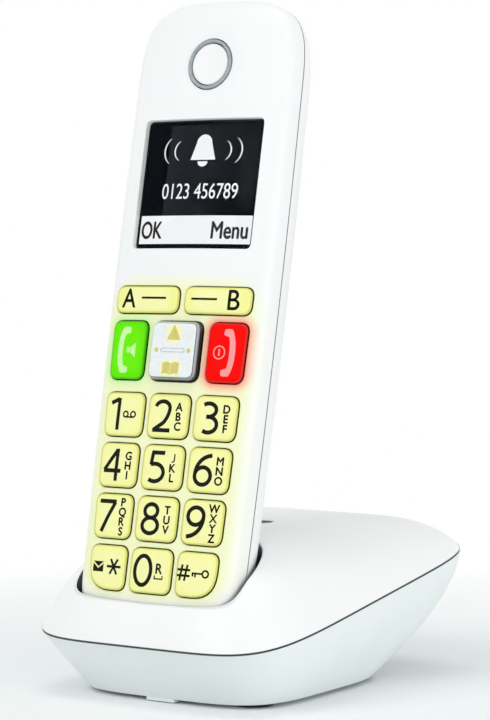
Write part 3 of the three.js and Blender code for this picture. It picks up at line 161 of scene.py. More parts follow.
def merged(parts):
    """Several (points, faces) sets as one."""
    points, faces, start = [], [], 0
    for p, f in parts:
        points.append(p)
        faces += [tuple(i + start for i in face) for face in f]
        start += len(p)
    return np.concatenate(points), faces


def outward(obj):
    """Turns every face outward."""
    bm = bmesh.new()
    bm.from_mesh(obj.data)
    bmesh.ops.recalc_face_normals(bm, faces=bm.faces)
    bm.to_mesh(obj.data)
    bm.free()
    return obj


def solid(name, rings, local=True):
    return outward(new_object(name, *loft(rings), local))


def base_solid(name, rings):
    return solid(name, rings, local=False)


def evaluated(obj):
    """Replaces the object's mesh with the result of its modifiers."""
    bpy.context.view_layer.update()
    graph = bpy.context.evaluated_depsgraph_get()
    mesh = bpy.data.meshes.new_from_object(obj.evaluated_get(graph))
    obj.modifiers.clear()
    old, obj.data = obj.data, mesh
    bpy.data.meshes.remove(old)
    return obj


def combine(obj, others, operation):
    for other in others:
        modifier = obj.modifiers.new("cut", "BOOLEAN")
        modifier.operation = operation
        modifier.solver = "MANIFOLD"
        modifier.object = other
        evaluated(obj)
        bpy.data.objects.remove(other)
    return obj


def carve(obj, *cutters):
    return combine(obj, cutters, "DIFFERENCE")


def add(obj, *others):
    return combine(obj, others, "UNION")


def keep(obj, *others):
    return combine(obj, others, "INTERSECT")


def soften(obj, angle=30, width=None):
    """Smooth shading that stays crisp over sharp edges, with an optional small bevel."""
    if width:
        modifier = obj.modifiers.new("bevel", "BEVEL")
        modifier.width = width * MM
        modifier.segments = 2
        modifier.limit_method = "ANGLE"
        modifier.angle_limit = math.radians(50)
        modifier.use_clamp_overlap = True
        evaluated(obj)
    obj.data.shade_smooth()
    obj.data.set_sharp_from_angle(angle=math.radians(angle))
    return obj


def place(obj, body, material, slot, *replaced):
    """Gives the piece its material and its body, and hides the CAD nodes it stands for. The slot is not used.
    """
    obj.data.materials.clear()
    obj.data.materials.append(material)
    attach(obj, body)
    if replaced:
        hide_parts(*replaced)


# ---------------------------------------------------------------- outlines
def resampled(points, count):
    """The same open curve with evenly spaced points."""
    step = np.linalg.norm(np.diff(points, axis=0), axis=1)
    along = np.concatenate([[0], np.cumsum(step)])
    at = np.linspace(0, along[-1], count)
    return np.stack([np.interp(at, along, points[:, k]) for k in (0, 1)], 1)


def half_width(z):
    return HALF_WIDTH - 1.2 * ((z - WIDEST) / WIDEST) ** 2


def handset_outline(inset, low_inset=None):
    """Outline (x, z) of the handset, drawn in by an inset."""
    low = inset if low_inset is None else low_inset
    high = LENGTH - inset
    low_corner = 16 - low * 0.6
    high_corner = 25.5 - inset * 0.6
    turn = np.linspace(0, math.pi / 2, 400)
    spread, rise = np.sin(turn) ** CORNER_BEND, 1 - np.cos(turn) ** CORNER_BEND
    straight = np.linspace(low + low_corner, high - high_corner, 200)[1:-1]
    z = np.concatenate([low + low_corner * rise, straight, (high - high_corner * rise)[::-1]])
    share = np.concatenate([spread, np.ones(len(straight)), spread[::-1]])
    right = resampled(np.stack([(half_width(z) - inset) * share, z], 1), SIDE_POINTS)
    return np.vstack([right, right[1:-1][::-1] * [-1, 1]])


def shrunk(outline, share, reach=None):
    """A handset outline drawn towards its middle line."""
    reach = reach or np.abs(outline[:, 0]).max()
    along = 1 - (1 - share) * reach / MIDDLE
    return np.stack([outline[:, 0] * share, MIDDLE + (outline[:, 1] - MIDDLE) * along], 1)


def crown(x):
    return x * x / (2 * CROWN_RADIUS)


def at_depth(outline, depth):
    """Ring (x, depth, z); depth is a number or one number for each point."""
    return np.stack([outline[:, 0], np.broadcast_to(depth, len(outline)), outline[:, 1]], 1)


def level(outline, height):
    """Ring (x, y, height); height is a number or one number for each point."""
    return np.column_stack([outline, np.broadcast_to(height, len(outline))])


def draped(outline, depth):
    """Ring on the crowned surface that lies at this depth on the centre line."""
    return at_depth(outline, depth + crown(outline[:, 0]))


def drawn_in(outline, share):
    """The outline or ring shrunk about the mean of its points."""
    centre = outline.mean(0)
    return centre + (outline - centre) * share


def rounded(corners, arc=7, spacing=1.0):
    """Outline with rounded corners; each corner is (x, z, radius). Long edges are subdivided."""
    out = []
    for i, (x, z, r) in enumerate(corners):
        p = np.array([x, z])
        following = np.array(corners[(i + 1) % len(corners)][:2])
        reach = corners[(i + 1) % len(corners)][2]
        before, after = np.array(corners[i - 1][:2]) - p, following - p
        enter = p + before / np.linalg.norm(before) * r
        leave = p + after / np.linalg.norm(after) * r
        for t in np.linspace(0, 1, arc + 1):
            out.append((1 - t) ** 2 * enter + 2 * t * (1 - t) * p + t * t * leave)
        end = following - after / np.linalg.norm(after) * reach
        steps = max(1, int(round(np.linalg.norm(end - leave) / spacing)))
        for t in np.linspace(0, 1, steps + 1)[1:-1]:
            out.append(leave + (end - leave) * t)
    return np.array(out)


def box_corners(x0, x1, z0, z1, radius):
    return [(x0, z0, radius), (x1, z0, radius), (x1, z1, radius), (x0, z1, radius)]


def rounded_box(x0, x1, z0, z1, radius, arc=7, spacing=1.0):
    return rounded(box_corners(x0, x1, z0, z1, radius), arc, spacing)


def flat_bar(half, z, rise, radius, arc=7, spacing=1.0):
    """A round-cornered bar across the middle line, at height z and rise to each side of it."""
    return rounded_box(-half, half, z - rise, z + rise, radius, arc, spacing)


def contact_box(sign, half, deep, radius, arc=7, spacing=1.0):
    """A round-cornered box in plan about a charge contact."""
    x, y = sign * CONTACT_X, CONTACT_DEPTH
    return rounded_box(x - half, x + half, y - deep, y + deep, radius, arc, spacing)


def circle(radius, count, centre=(0.0, 0.0)):
    t = np.linspace(0, 2 * math.pi, count, endpoint=False)
    return np.stack([centre[0] + radius * np.cos(t), centre[1] + radius * np.sin(t)], 1)


def grown(corners, by):
    cx = sum(c[0] for c in corners) / len(corners)
    cz = sum(c[1] for c in corners) / len(corners)
    return [(x + by * math.copysign(1, x - cx), z + by * math.copysign(1, z - cz), max(0.25, r + by))
            for x, z, r in corners]


def extent(corners):
    """Left, right, low and high of an outline's corners."""
    xs, zs = [c[0] for c in corners], [c[1] for c in corners]
    return min(xs), max(xs), min(zs), max(zs)


def window_corners(grow=0.0):
    half, low, high = WINDOW
    return grown(box_corners(-half, half, low, high, 1.4), grow)


def window_outline(grow):
    return rounded(window_corners(grow))


def cover_outline(grow=0.0):
    half, low, high, corner = COVER
    return rounded(grown(box_corners(-half, half, low, high, corner), grow))


def turned(profile, sides, centre):
    """Rings round the depth axis; the profile is (radius, depth)."""
    return [at_depth(circle(r, sides, centre), y) for r, y in profile]


def upright(profile, sides, centre):
    """Rings round the height axis; the profile is (radius, height)."""
    return [level(circle(r, sides, centre), z) for r, z in profile]


def stacked(name, *steps):
    """A handset solid over outlines at depths."""
    return solid(name, [at_depth(outline, depth) for outline, depth in steps])


def flat_box(name, x, y, z, local=False):
    ring = np.array([[x[0], y[0]], [x[1], y[0]], [x[1], y[1]], [x[0], y[1]]])
    return solid(name, [level(ring, h) for h in z], local)


# ---------------------------------------------------------------- handset shells
def front_shell():
    rim, inner = handset_outline(3.2), handset_outline(WALL)
    rings = [draped(shrunk(rim, share, HALF_WIDTH), 0) for share in (0.015, 0.06, *np.linspace(0.12, 0.97, 16))]
    for turn in np.linspace(0, math.pi / 2, 12):
        depth = 5 * (1 - math.cos(turn))
        outline = handset_outline(3.2 * (1 - math.sin(turn)))
        rings.append(at_depth(outline, depth + (1 - depth / SEAM) * crown(outline[:, 0])))
    edge = SEAM - GAP / 2
    rings += [at_depth(handset_outline(0), edge - SEAM_EDGE), at_depth(handset_outline(SEAM_INSET), edge),
              at_depth(inner, edge), draped(inner, WALL + 1.2)]
    rings += [draped(shrunk(inner, share, HALF_WIDTH), WALL) for share in (0.985, 0.7, 0.4, 0.1, 0.02)]
    return solid("front_shell", rings)


def key_corners():
    """Key outlines by CAD node; each corner is (x, z, radius)."""
    def outer(z):
        return float(np.interp(z, (ROW_LOW, SOFT_ROW[1]), KEYPAD_HALF))

    def side(sign, inner, low, high, low_corner=KEY_CORNER):
        corners = [(inner, low, KEY_CORNER), (outer(low), low, low_corner),
                   (outer(high), high, KEY_CORNER), (inner, high, KEY_CORNER)]
        return corners if sign > 0 else [(-x, z, r) for x, z, r in reversed(corners)]

    keys = {
        "key_soft_left": side(-1, 1.0, *SOFT_ROW), "key_soft_right": side(1, 1.0, *SOFT_ROW),
        "key_talk": side(-1, 10.3, *CALL_ROW), "key_end": side(1, 10.3, *CALL_ROW),
        "key_navigation": box_corners(-7.85, 7.85, *CALL_ROW, KEY_CORNER),
    }
    rows = (("star", "0", "hash"), ("7", "8", "9"), ("4", "5", "6"), ("1", "2", "3"))
    for i, (left, middle, right) in enumerate(rows):
        low = ROW_LOW + ROW_STEP * i
        high = low + ROW_HEIGHT
        corner = LOW_CORNER if i == 0 else KEY_CORNER
        keys["key_" + left] = side(-1, 8.45, low, high, corner)
        keys["key_" + middle] = box_corners(-6.65, 6.65, low, high, KEY_CORNER)
        keys["key_" + right] = side(1, 8.45, low, high, corner)
    return keys


KEYS = key_corners()


def flared_hole(corners, flare=0.22):
    """A cutter through the face: the outline below, opened out at the surface."""
    def ring(by):
        return rounded(grown(corners, GAP + by), 7, 1.5)

    return loft([at_depth(ring(0), SEAM), draped(ring(0), flare), draped(ring(0.06), flare * 0.35),
                 draped(ring(flare), -0.03), draped(ring(flare + 0.25), -3.0)])


def dish_cutter():
    """The shallow dish round the earpiece."""
    radius, deep, steps = 11.0, 0.32, 14
    sphere = (radius ** 2 + deep ** 2) / (2 * deep)
    rings = [draped(circle(r, ROUND, EAR), deep - sphere + math.sqrt(sphere ** 2 - r * r))
             for r in radius * np.arange(1, steps + 1) / steps]
    rings.append(draped(circle(radius + 0.6, ROUND, EAR), -0.6))
    return solid("dish", rings)


def finished_front_shell():
    holes = [flared_hole(corners) for corners in KEYS.values()]
    holes += [flared_hole(window_corners(), 0.18), loft(turned(((7.3, 4.0), (7.3, -2.0)), 72, EAR)),
              loft(turned(((0.5, 3.0), (0.5, 0.15), (0.62, 0.0), (0.8, -1.0)), 24, MOUTH))]
    return soften(carve(front_shell(), dish_cutter(), outward(new_object("cutters", *merged(holes)))), 28)


def rear_rings(offset, start, count):
    """Outlines and depths of the rear shell's skin, from its edge to its back."""
    rings = []
    for turn in np.linspace(0, math.pi / 2, count):
        taper = REAR_TAPER * (1 - math.cos(turn))
        rings.append((handset_outline(offset + taper, offset + taper * 0.45),
                      start + (DEPTH - offset - start) * math.sin(turn) ** REAR_BEND))
    return rings


def rear_form(name="rear_form"):
    """The handset's rear half, filled."""
    start = SEAM + GAP / 2
    first, skin = handset_outline(SEAM_INSET), rear_rings(0, start, 34)
    last, deepest = skin[-1]
    steps = [(shrunk(first, 0.03), start), (shrunk(first, 0.5), start), (first, start),
             (handset_outline(0), start + SEAM_EDGE)]
    steps += [(outline, max(depth, start + 0.26)) for outline, depth in skin[1:]]
    steps += [(shrunk(last, share), deepest) for share in (0.92, 0.75, 0.5, 0.25, 0.05)]
    return stacked(name, *steps)


def rear_hollow():
    skin = rear_rings(WALL, SEAM - 4, 16)
    last, deepest = skin[-1]
    return stacked("rear_hollow", *skin, (shrunk(last, 0.6), deepest), (shrunk(last, 0.1), deepest))


def back_groove(name, narrow, wide, *depths):
    """A cutter in the handset's back: a narrow outline at the first depths, a wide one at the last two."""
    steps = [narrow] * (len(depths) - 2) + [wide] * 2
    return stacked(name, *[(outline, DEPTH + depth) for outline, depth in zip(steps, depths)])


def finished_rear_shell():
    shell = carve(rear_form("rear_shell"), rear_hollow())
    half, low, high, floor = BAY
    add(shell, flat_box("bay", (-half - BAY_WALL, half + BAY_WALL), (floor - BAY_WALL, DEPTH - 1),
                        (low - BAY_WALL, high + BAY_WALL), local=True))
    bed = cover_outline(BAY_WALL)
    add(shell, keep(stacked("bed", (bed, COVER_BED - WALL), (bed, DEPTH)), rear_form()))
    for _, sign in SIDES:
        centre = (sign * CASE_SCREW[0], CASE_SCREW[1])
        add(shell, solid("boss", turned(((3.5, SEAM + GAP / 2), (3.5, COVER_BED)), 32, centre)))
        carve(shell, solid("bore", turned(((BORE, 0), (BORE, 21.2), (2.5, 21.2), (2.5, 26)), 32, centre)))
    recess = cover_outline(GAP)
    carve(shell, stacked("recess", (recess, COVER_BED), (recess, DEPTH + 4)),
          flat_box("bay_hollow", (-half, half), (floor, DEPTH + 4), (low, high), local=True))
    for _, sign in SIDES:
        x, y = sign * CONTACT_X, CONTACT_DEPTH
        carve(shell, flat_box("pad_slot", (x - 2.5, x + 2.5), (y - 2.3, y + 2.3), (-4, 3.1), local=True))
    for i in range(-2, 3):
        z, reach = RINGER + i * 2.8, 6 - abs(i) * 0.9
        carve(shell, back_groove("slot", flat_bar(reach, z, 0.55, 0.5, 6, 2),
                                 flat_bar(reach + 0.25, z, 0.8, 0.7, 6, 2), 21 - DEPTH, -0.22, 0.03, 2))
    return soften(shell)


def finished_cover():
    panel = cover_outline()
    cover = keep(stacked("cover_panel", (panel, COVER_BED + GAP), (panel, DEPTH + 0.5)), rear_form())
    carve(cover, back_groove("notch", rounded_box(-5, 5, 103.0, 104.6, 0.7),
                             rounded_box(-5.3, 5.3, 102.2, 104.9, 0.95), -0.7, -0.3, 0.02, 2))
    for i in range(3):
        z, half = 99.6 - i * 1.5, 4.4 - i * 0.8
        carve(cover, back_groove("groove", flat_bar(half, z, 0.3, 0.28), flat_bar(half + 0.2, z, 0.5, 0.45),
                                 -0.3, 0.02, 2))
    return soften(cover, width=0.16)


# ---------------------------------------------------------------- keys
def key_root(corners, height):
    """A key's flange and straight side."""
    flange, body = rounded(grown(corners, 0.6)), rounded(corners)
    return [draped(flange, 2.8), draped(flange, 2.1), draped(body, 2.1), draped(body, height)]


def key_cap(name, corners):
    """A key: flange, straight side, rounded shoulder and a slightly pillowed top on the crown."""
    rings = key_root(corners, 0.4)
    rise, inset = 0.5, 0.95
    for turn in np.linspace(0, math.pi / 2, 8):
        outline = rounded(grown(corners, -inset * (1 - math.cos(turn)) ** 0.85))
        rings.append(draped(outline, rise - KEY_PROUD - rise * math.sin(turn)))
    top = rounded(grown(corners, -inset))
    rings += [draped(drawn_in(top, share), -KEY_PROUD - 0.10 * (1 - share ** 2))
              for share in (0.93, 0.82, 0.65, 0.45, 0.25, 0.08)]
    return soften(solid(name, rings))


def navigation_key():
    """The raised middle key: a bevelled frame, a dished plate and a slot across it."""
    corners = KEYS["key_navigation"]
    rings = key_root(corners, 0.2)
    for inset, rise in ((0, 0.5), (0.04, 0.8), (0.14, 1.1), (0.42, 1.75), (0.56, 1.98), (0.76, 2.12),
                        (1.0, 2.18), (1.3, NAVIGATION_PROUD)):
        rings.append(draped(rounded(grown(corners, -inset)), -rise))
    top = rounded(grown(corners, -1.3))
    rings += [draped(drawn_in(top, share), -NAVIGATION_PROUD + 0.18 * (1 - share ** 2))
              for share in (0.93, 0.8, 0.6, 0.35, 0.1)]
    key = solid("navigation_cap", rings)
    groove, ridge = flat_bar(4.0, CALL_MIDDLE, 0.62, 0.6, 6), flat_bar(3.7, CALL_MIDDLE, 0.34, 0.33, 6)
    carve(key, carve(solid("groove", [draped(groove, d) for d in (-1.75, -4)]),
                     solid("bar", [draped(ridge, d) for d in (-1.0, -5)])))
    return soften(key)


# ---------------------------------------------------------------- base forms
def signed_power(value, power):
    return np.sign(value) * np.abs(value) ** power


def plan_power(rear):
    """The power of the base's outline, rounder in front than behind."""
    return np.where(rear, PLAN_POWER[1], PLAN_POWER[0])


def base_outline(turn, inset=0.0):
    power = 2 / plan_power(np.sin(turn) >= 0)
    y = (BASE_HALF_DEPTH - inset) * signed_power(np.sin(turn), power)
    x = (BASE_HALF_WIDTH - inset) * signed_power(np.cos(turn), power)
    return np.stack([x * (1 + BASE_TAPER * y / BASE_HALF_DEPTH), y], 1)


def seam_height(y):
    return SEAM_FRONT + SEAM_SLOPE * (y + BASE_HALF_DEPTH)


def seam_ring(turns, inset, offset):
    edge = base_outline(turns, inset)
    return level(edge, seam_height(edge[:, 1]) + offset)


def crossing(count, start, stop, beyond):
    """Where each of count tests turns true between start and stop, by halving."""
    low, high = np.full(count, start), np.full(count, stop)
    for _ in range(40):
        middle = (low + high) / 2
        over = beyond(middle)
        low, high = np.where(over, low, middle), np.where(over, middle, high)
    return low


def dome_height(x, y):
    """Height of the top shell's outside over a point of the plan."""
    def holds(share):
        width = BASE_HALF_WIDTH * (1 + BASE_TAPER * y / (share * BASE_HALF_DEPTH))
        power = plan_power(y >= 0)
        return np.abs(x / (share * width)) ** power + np.abs(y / (share * BASE_HALF_DEPTH)) ** power <= 1

    share = crossing(len(x), 1e-4, 1.5, holds)
    along = y / BASE_HALF_DEPTH
    front, middle, rear = DOME
    rise = middle + (rear - front) / 2 * along + ((rear + front) / 2 - middle) * along ** 4
    return seam_height(y) + rise * (1 - np.minimum(share, 1) ** 4) + GAP / 2


def dome_at(x, y):
    return float(dome_height(np.array([x]), np.array([y]))[0])


def well_outline(turn, grow=0.0):
    """The well's plan in the handset's axes: the rear shell's form behind, a soft rectangle in front."""
    half = HALF_WIDTH + WELL_GAP + grow
    front = np.sin(turn) < 0
    x_front = half * signed_power(np.cos(turn), 2 / 5)
    y_front = SEAM + (WELL_FRONT + grow) * signed_power(np.sin(turn), 2 / 5)
    # the rear form takes the first four fifths of a quarter turn, its flat back the rest
    quarter = 1 - np.abs(turn % (2 * math.pi) - math.pi / 2) / (math.pi / 2)
    bend = np.clip(quarter / 0.8, 0, 1) * math.pi / 2
    share = np.clip((1 - quarter) / 0.2, 0, 1)
    x_rear = np.sign(np.cos(turn)) * (half - REAR_TAPER * (1 - np.cos(bend))) * share
    y_rear = SEAM + (DEPTH - SEAM + 0.8 + grow) * np.sin(bend) ** REAR_BEND
    return np.stack([np.where(front, x_front, x_rear), np.where(front, y_front, y_rear)], 1)


def well_points(outline, height):
    """World points of the leaning well's wall at a height along the handset."""
    return to_world(level(outline, height))


def mouth_heights(outline):
    """Heights along the handset where the well's wall comes out of the dome."""
    def above(height):
        p = well_points(outline, height)
        return p[:, 2] > dome_height(p[:, 0], p[:, 1])

    return crossing(len(outline), WELL_FLOOR, 60.0, above)


def even_turns(count):
    """Turns at which both the well's mouth and the base's outline are evenly sampled."""
    turn = np.linspace(0, 2 * math.pi, 8001)
    lines = (well_outline(turn), base_outline(turn))
    step = sum(np.linalg.norm(np.diff(line, axis=0), axis=1) for line in lines)
    along = np.concatenate([[0], np.cumsum(step)])
    return np.interp(np.linspace(0, along[-1], count, endpoint=False), along, turn)


TURNS = even_turns(PLAN_POINTS)
PAGING_CROWN = dome_at(0.0, PAGING_Y) - GAP / 2


def hull_ring(turn, share, inset):
    """Ring of the bottom shell's form, from its floor (share 0) to the seam (share 1)."""
    floor_y, floor_half = (FLOOR_REAR + FLOOR_FRONT) / 2, (FLOOR_REAR - FLOOR_FRONT) / 2
    # nearly straight in front, fuller behind
    spread = 1 - (1 - share) ** (0.95 + 0.45 * (1 + np.sin(turn)))
    high = base_outline(turn, inset)
    low_x = (FLOOR_HALF_WIDTH - inset) * signed_power(np.cos(turn), FLOOR_POWER)
    low_y = floor_y + (floor_half - inset) * signed_power(np.sin(turn), FLOOR_POWER)
    low = np.column_stack([low_x, low_y])
    bottom = FLOOR_HEIGHT + inset
    return level(low + (high - low) * spread[:, None],
                 bottom + (seam_height(high[:, 1]) - GAP / 2 - bottom) * share)


def top_form():
    """The top shell, filled below: well, rim, dome, edge and inner skirt."""
    well = well_outline(TURNS)
    mouth = mouth_heights(well)
    rim, wall_low = 1.1, 0.1
    rings = [well_points(drawn_in(well, share), WELL_FLOOR) for share in (0.04, 0.5, 0.9)]
    for inset, height in ((0.5, WELL_FLOOR), (0.15, -0.25), (0.0, wall_low)):
        rings.append(well_points(well_outline(TURNS, -inset), height))
    for share in np.linspace(0.12, 1, 9):
        rings.append(well_points(well, wall_low + (mouth - rim - wall_low) * share))
    corner = well_points(well, mouth)
    across = base_outline(TURNS) - corner[:, :2]

    def on_dome(fraction):
        plan = corner[:, :2] + across * fraction[:, None]
        return level(plan, dome_height(plan[:, 0], plan[:, 1]))

    first = np.minimum(rim / np.linalg.norm(across, axis=1), 0.4)
    start, end = rings[-1], on_dome(first)
    for t in np.linspace(0, 1, 8)[1:]:
        rings.append((1 - t) ** 2 * start + 2 * t * (1 - t) * corner + t * t * end)
    for u in np.linspace(0, 1, 44)[1:]:
        rings.append(on_dome(first + (1 - first) * (1 - (1 - u) ** 1.7)))
    rings[-1][:, 2] += 0.14
    skirt = 2.3
    rings += [seam_ring(TURNS, inset, GAP / 2) for inset in (BASE_EDGE_INSET, skirt)]
    rings += [hull_ring(TURNS, share, skirt) for share in (1, 0.8, 0.6, 0.4, 0.2, 0.1, 0)]
    return base_solid("top_shell", rings)


def top_hollow():
    """The space under the dome, round the well's tub."""
    turns = TURNS[::2]
    inside, outside = base_outline(turns, BASE_WALL), base_outline(turns)
    rings = [level(inside, 0.5)]
    for share in (1, 0.985, 0.96, 0.93, 0.89, 0.84, 0.78, 0.7, 0.6, 0.45, 0.28, 0.1):
        x, y = outside.T * share
        rings.append(level(inside * share, dome_height(x, y) - BASE_WALL))
    tub = well_outline(turns, BASE_WALL)
    return carve(base_solid("hollow", rings),
                 base_solid("tub", [well_points(tub, h) for h in (WELL_FLOOR - BASE_WALL, 90)]))


def top_shell():
    shell = carve(top_form(), top_hollow())
    for _, sign in SIDES:
        centre = (sign * BASE_SCREW[0], BASE_SCREW[1])
        add(shell, base_solid("boss", upright(((3.0, 3.5), (3.0, dome_at(*centre) - 1.0)), 40, centre)))
        carve(shell, base_solid("bore", upright(((BORE, 2.0), (BORE, 11.8)), 32, centre)))
        carve(shell, base_solid("pin_hole", [
            well_points(contact_box(sign, half, half, radius), height)
            for half, radius, height in ((1.6, 0.6, -8), (1.6, 0.6, -0.65), (1.8, 0.8, -0.38), (1.9, 0.9, 2))]))
    profile = ((PAGING_HOLE, -4.5), (PAGING_HOLE, -0.42), (3.68, -0.2), (3.85, -0.05), (4.1, 0.06), (4.6, 0.5))
    hole = [(radius, PAGING_CROWN + height) for radius, height in profile]
    return soften(carve(shell, base_solid("paging_hole", upright(hole, 80, (0, PAGING_Y)))))


def bottom_shell():
    fine = np.linspace(0, 1, 30) ** 1.3
    skin = [hull_ring(TURNS, share, 0) for share in fine]
    skin[-1][:, 2] -= 0.16
    rings = [drawn_in(skin[0], share) for share in (0.05, 0.5, 0.9)] + skin
    rings.append(seam_ring(TURNS, BASE_EDGE_INSET, -GAP / 2))
    rings += [hull_ring(TURNS, share, BASE_WALL) for share in (1, 0.85, 0.7, 0.5, 0.3, 0.15, 0.05, 0)]
    shell = base_solid("bottom_shell", rings)
    face, half, low, high = NICHE
    wall = 1.6
    case = flat_box("case", (-half - wall, half + wall), (face - wall, BASE_HALF_DEPTH),
                    (FLOOR_HEIGHT, high + wall))
    outer = base_solid("outer", [hull_ring(TURNS[::2], share, 0) for share in fine])
    tab = rounded_box(-4.7, 4.7, FLOOR_FRONT, FLOOR_FRONT + 3.6, 0.8)
    add(shell, keep(case, outer), base_solid("tab", [level(tab, z) for z in (0.3, 3.2)]))
    for centre in ((-20, -30), (20, -30), (-20, 9), (20, 9)):
        add(shell, base_solid("post", upright(((2.4, 2.2), (2.4, 4.7)), 24, centre)))
    niche = rounded_box(-half, half, low, high, wall, 6, 4)
    carve(shell, base_solid("niche", [at_depth(niche, y) for y in (face, BASE_HALF_DEPTH + 8)]))
    for x, width, height in SOCKETS.values():
        reach = width / 2 + SOCKET_WALL + GAP
        carve(shell, flat_box("mouth", (x - reach, x + reach), (face - 12.3, face + 0.3),
                              (SOCKET_LOW - GAP, SOCKET_LOW + height + 2.8 + GAP)))
    for centre in FEET.values():
        carve(shell, base_solid("foot_hole", upright(((5.8, -1), (5.8, 1.7)), 64, centre)))
    screw_hole = ((2.7, -1), (2.7, 1.2), (2.5, 1.35), (2.5, 2.2), (BORE, 2.2), (BORE, 7))
    for _, sign in SIDES:
        centre = (sign * BASE_SCREW[0], BASE_SCREW[1])
        carve(shell, base_solid("screw_hole", upright(screw_hole, 40, centre)))
    return soften(shell)


def foot(name):
    profile = ((0.2, 1.4), (5.5, 1.4), (5.5, 0.55), (5.38, 0.25), (5.1, 0.07), (4.7, 0.0), (4.2, 0.0),
               (4.1, 0.12), (3.7, 0.12), (3.6, 0.0), (0.2, 0.0))
    return soften(base_solid(name + "_pad", upright(profile, 72, FEET[name])), 40)


def socket(name):
    x, width, height = SOCKETS[name]
    face, half = NICHE[0], width / 2
    housing = flat_box(name + "_body", (x - half - SOCKET_WALL, x + half + SOCKET_WALL), (face - 12, face),
                       (SOCKET_LOW, SOCKET_LOW + height + 2.8))
    carve(housing,
          flat_box("mouth", (x - half, x + half), (face - 10.6, face + 4), (MOUTH_LOW, MOUTH_LOW + height)),
          flat_box("latch", (x - 1.8, x + 1.8), (face - 5, face + 4), (3, 9.4)))
    return soften(housing, width=0.25)


def socket_contacts(name):
    """The bent contact wires under the roof of a socket's mouth."""
    x, _, height = SOCKETS[name]
    count, pitch, half = (4, 1.3, 0.26) if name == "line_socket" else (2, 2.6, 0.45)
    section = np.array([(-half, -0.15), (half, -0.15), (half, 0.15), (-half, 0.15)])
    wires = []
    for i in range(count):
        across = x + (i - (count - 1) / 2) * pitch
        wires.append(loft([at_depth(section + [across, MOUTH_LOW + height - drop], NICHE[0] + out)
                           for out, drop in ((-10.7, 0.2), (-8.0, 0.9), (-3.0, 2.6), (-2.2, 2.2))]))
    return soften(outward(new_object(name + "_contacts", *merged(wires), local=False)), 40)


def paging_key():
    top = PAGING_CROWN - 0.2
    flange = PAGING_CROWN - BASE_WALL - 0.9
    profile = ((0.02, 10.2), (1.5, 10.2), (1.5, flange - 1.2), (4.5, flange - 1.2), (4.5, flange),
               (3.3, flange), (3.3, top - 0.35), (3.2, top - 0.12), (3.0, top), (2.5, top - 0.05),
               (1.8, top - 0.2), (1.0, top - 0.27), (0.1, top - 0.3))
    return soften(base_solid("paging_button", upright(profile, 72, (0, PAGING_Y))))


def charge_pin(side, sign):
    rings = []
    for half, radius, height in ((2.1, 1.2, -4.5), (2.1, 1.2, -2.7), (1.3, 0.6, -2.7), (1.3, 0.6, -0.1),
                                 (1.25, 0.6, 0.12), (1.1, 0.6, 0.28), (0.8, 0.5, 0.37), (0.3, 0.25, 0.4)):
        rings.append(level(contact_box(sign, half, half, radius, 6, 3), height))
    return soften(solid("pin_" + side, rings), 40)


# ---------------------------------------------------------------- small handset pieces
def face_fill(outline, depth):
    """Rings that fill a crowned face towards its centre."""
    centre = (outline.max(0) + outline.min(0)) / 2
    return [draped(centre + (outline - centre) * s, depth) for s in (0.9, 0.75, 0.55, 0.35, 0.15, 0.02)]


def display_lens():
    rings = [draped(window_outline(grow), depth)
             for grow, depth in ((-0.2, 1.6), (0.0, 1.45), (0.0, 0.35), (-0.06, 0.21), (-0.2, 0.15))]
    return soften(solid("display_glass", rings + face_fill(window_outline(-0.2), 0.15)))


def display_panel():
    outline = window_outline(-0.3)
    rings = [draped(outline, 4.1), draped(outline, PANEL_DEPTH)] + face_fill(outline, PANEL_DEPTH)
    return soften(solid("display_panel", rings))


def earpiece_ring():
    """A ring with a softly rounded lip and a bore for the cap."""
    profile = ((7.0, 1.8), (7.0, 0.05), (6.98, -0.08), (6.9, -0.18), (6.76, -0.235), (6.6, -0.25),
               (6.42, -0.23), (6.27, -0.16), (6.16, -0.05), (6.1, 0.1), (6.1, 1.8))
    rings = turned(profile, ROUND, EAR)
    points, faces = loft(rings + rings[:1], capped=False)
    count = len(points) - ROUND  # the last ring is the first one again
    faces = [[i % count for i in face] for face in faces]
    return soften(outward(new_object("earpiece_bezel", points[:count], faces)), 40)


def earpiece_cap():
    profile = ((0.02, 1.8), (5.8, 1.8), (5.8, 0.32), (5.74, 0.18), (5.6, 0.11), (5.3, 0.1), (4.2, 0.16),
               (2.8, 0.2), (1.4, 0.22), (0.1, 0.22))
    return soften(solid("earpiece_disc", turned(profile, ROUND, EAR)))


def screw_head(name, centre, local, low, high, shank_end):
    """A pan head with a cross recess on its shank. Depth (local) or height runs along the screw."""
    away = 1 if low > shank_end else -1
    radius = 2.2
    ring = at_depth if local else level
    profile = ((0.02, shank_end), (1.05, shank_end), (1.05, low), (radius, low), (radius, high - away * 0.45),
               (radius - 0.12, high - away * 0.2), (radius - 0.45, high), (0.05, high))
    head = solid(name, [ring(circle(r, 48, centre), h) for r, h in profile], local)
    for angle in (0.6, 0.6 + math.pi / 2):
        recess = spun(flat_bar(1.25, 0, 0.3, 0.25, 3, 9), angle) + centre
        carve(head, solid("recess", [ring(recess, high - away * 0.55), ring(recess, high + away)], local))
    return soften(head)


def contact_pad(side, sign):
    """A bent spring leaf whose foot shows at the handset's lower end."""
    rings = [level(contact_box(sign, half, half - 0.2, 0.5, 4, 3), z)
             for half, z in ((1.8, 3.1), (2.2, 2.9), (2.2, 1.0), (2.1, 0.8), (1.8, 0.7))]
    centre = np.array([sign * CONTACT_X, CONTACT_DEPTH])
    rings += [level(centre + (rings[4][:, :2] - centre) * s, 0.7 + 0.15 * (1 - s)) for s in (0.7, 0.4, 0.1)]
    return soften(solid("contact_pad_" + side, rings), 40)


